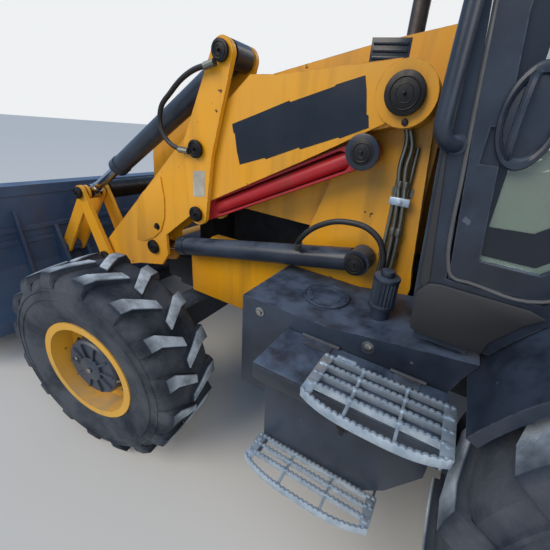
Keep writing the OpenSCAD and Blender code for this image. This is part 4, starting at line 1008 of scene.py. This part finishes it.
vent_edge = [(1150, 1785), (1290, 1785), (1290, 1905), (1150, 1905)]
vents.append(cut_plate(vent_edge, BONNET_FACE - 3, 4, 1))
on_both(join(vents), "bonnet_vent", "bonnet", panel_black)
EXHAUST = (1300, -320)
BANDS = ((2478, 43), (1402, 50), (1958, 50))  # how high, radius
lip = [ring((*EXHAUST, up), "z", radius, 4, 40) for up, radius in BANDS]
place_on(join(lip), "exhaust_lip", "chassis", exhaust_steel)

# %% [markdown]
# The backhoe's hinges show the same turned pin heads as the loader's, and the shovel's cutting
# edge is bolted on from above.

# %% Backhoe pins and cutting edge
BACK_ENDS = [("boom_foot_cap", (-1540, 660), 128, 44, 12, "boom"),
             ("boom_top_cap", (-1180, 3290), 128, 44, 12, "boom"),
             ("boom_ram_cap", (-1345, 1895), 84, 34, 12, "boom"),
             ("boom_base_cap", (-1306, 960), 81, 34, 12, "kingpost")]
pin_ends(BACK_ENDS)
EDGE, EDGE_TOP, EDGE_PITCH = 3777, 134, 340
edge_bolts = [lathe_disc((EDGE, i * EDGE_PITCH, EDGE_TOP), "z", 20, 9, 3, 24) for i in range(-3, 4)]
place_on(join(edge_bolts), "cutting_edge_bolts", "shovel", pin_steel)

# %% [markdown]
# The floor is one pale sheet, and the light is soft: an even blue sky, a wide warm sun and two
# large lamps. The sky shows white to the camera.

# %% Floor and light
deselect()
bpy.ops.mesh.primitive_plane_add(size=60, location=(0, 0, 0))
floor = shape()
floor.name = "floor"
floor_finish, _, floor_shader, _ = start_finish("pale_floor")
floor_shader.inputs["Base Color"].default_value = linear("c9c9c6")
floor_shader.inputs["Roughness"].default_value = 1.0
floor_shader.inputs["Specular IOR Level"].default_value = 0.0
floor.data.materials.append(floor_finish)

world = bpy.data.worlds.new("sky")
bpy.context.scene.world = world
world.use_nodes = True
world_tree = world.node_tree
background = world_tree.nodes["Background"]
rays = add(world_tree, "ShaderNodeLightPath")
sky_tint = blend_colour(world_tree, rays.outputs["Is Camera Ray"], "9fbfe8", "f2f4f6")
world_tree.links.new(sky_tint, background.inputs["Color"])
seen = times(world_tree, rays.outputs["Is Camera Ray"], rays.outputs["Is Glossy Ray"], "MAXIMUM")
world_tree.links.new(span(world_tree, seen, 0, 1, 0.8, 0.97), background.inputs["Strength"])


def lamp(name, kind, place, energy, **settings):
    """A warm lamp at place that faces the middle of the machine."""
    light = bpy.data.lights.new(name, kind)
    light.energy, light.color = energy, linear("fff1dc")[:3]
    for key, value in settings.items():
        setattr(light, key, value)
    holder = bpy.data.objects.new(name, light)
    holder.location = place
    aim = Vector((0, 0, 1)) - holder.location
    holder.rotation_euler = aim.to_track_quat("-Z", "Y").to_euler()
    bpy.context.scene.collection.objects.link(holder)


lamp("key", "SUN", (4, 7, 7.5), 2.0, angle=0.7)
lamp("fill", "AREA", (-5, 4, 5), 240, size=5)
lamp("back", "AREA", (-3, -7, 6), 260, size=5)
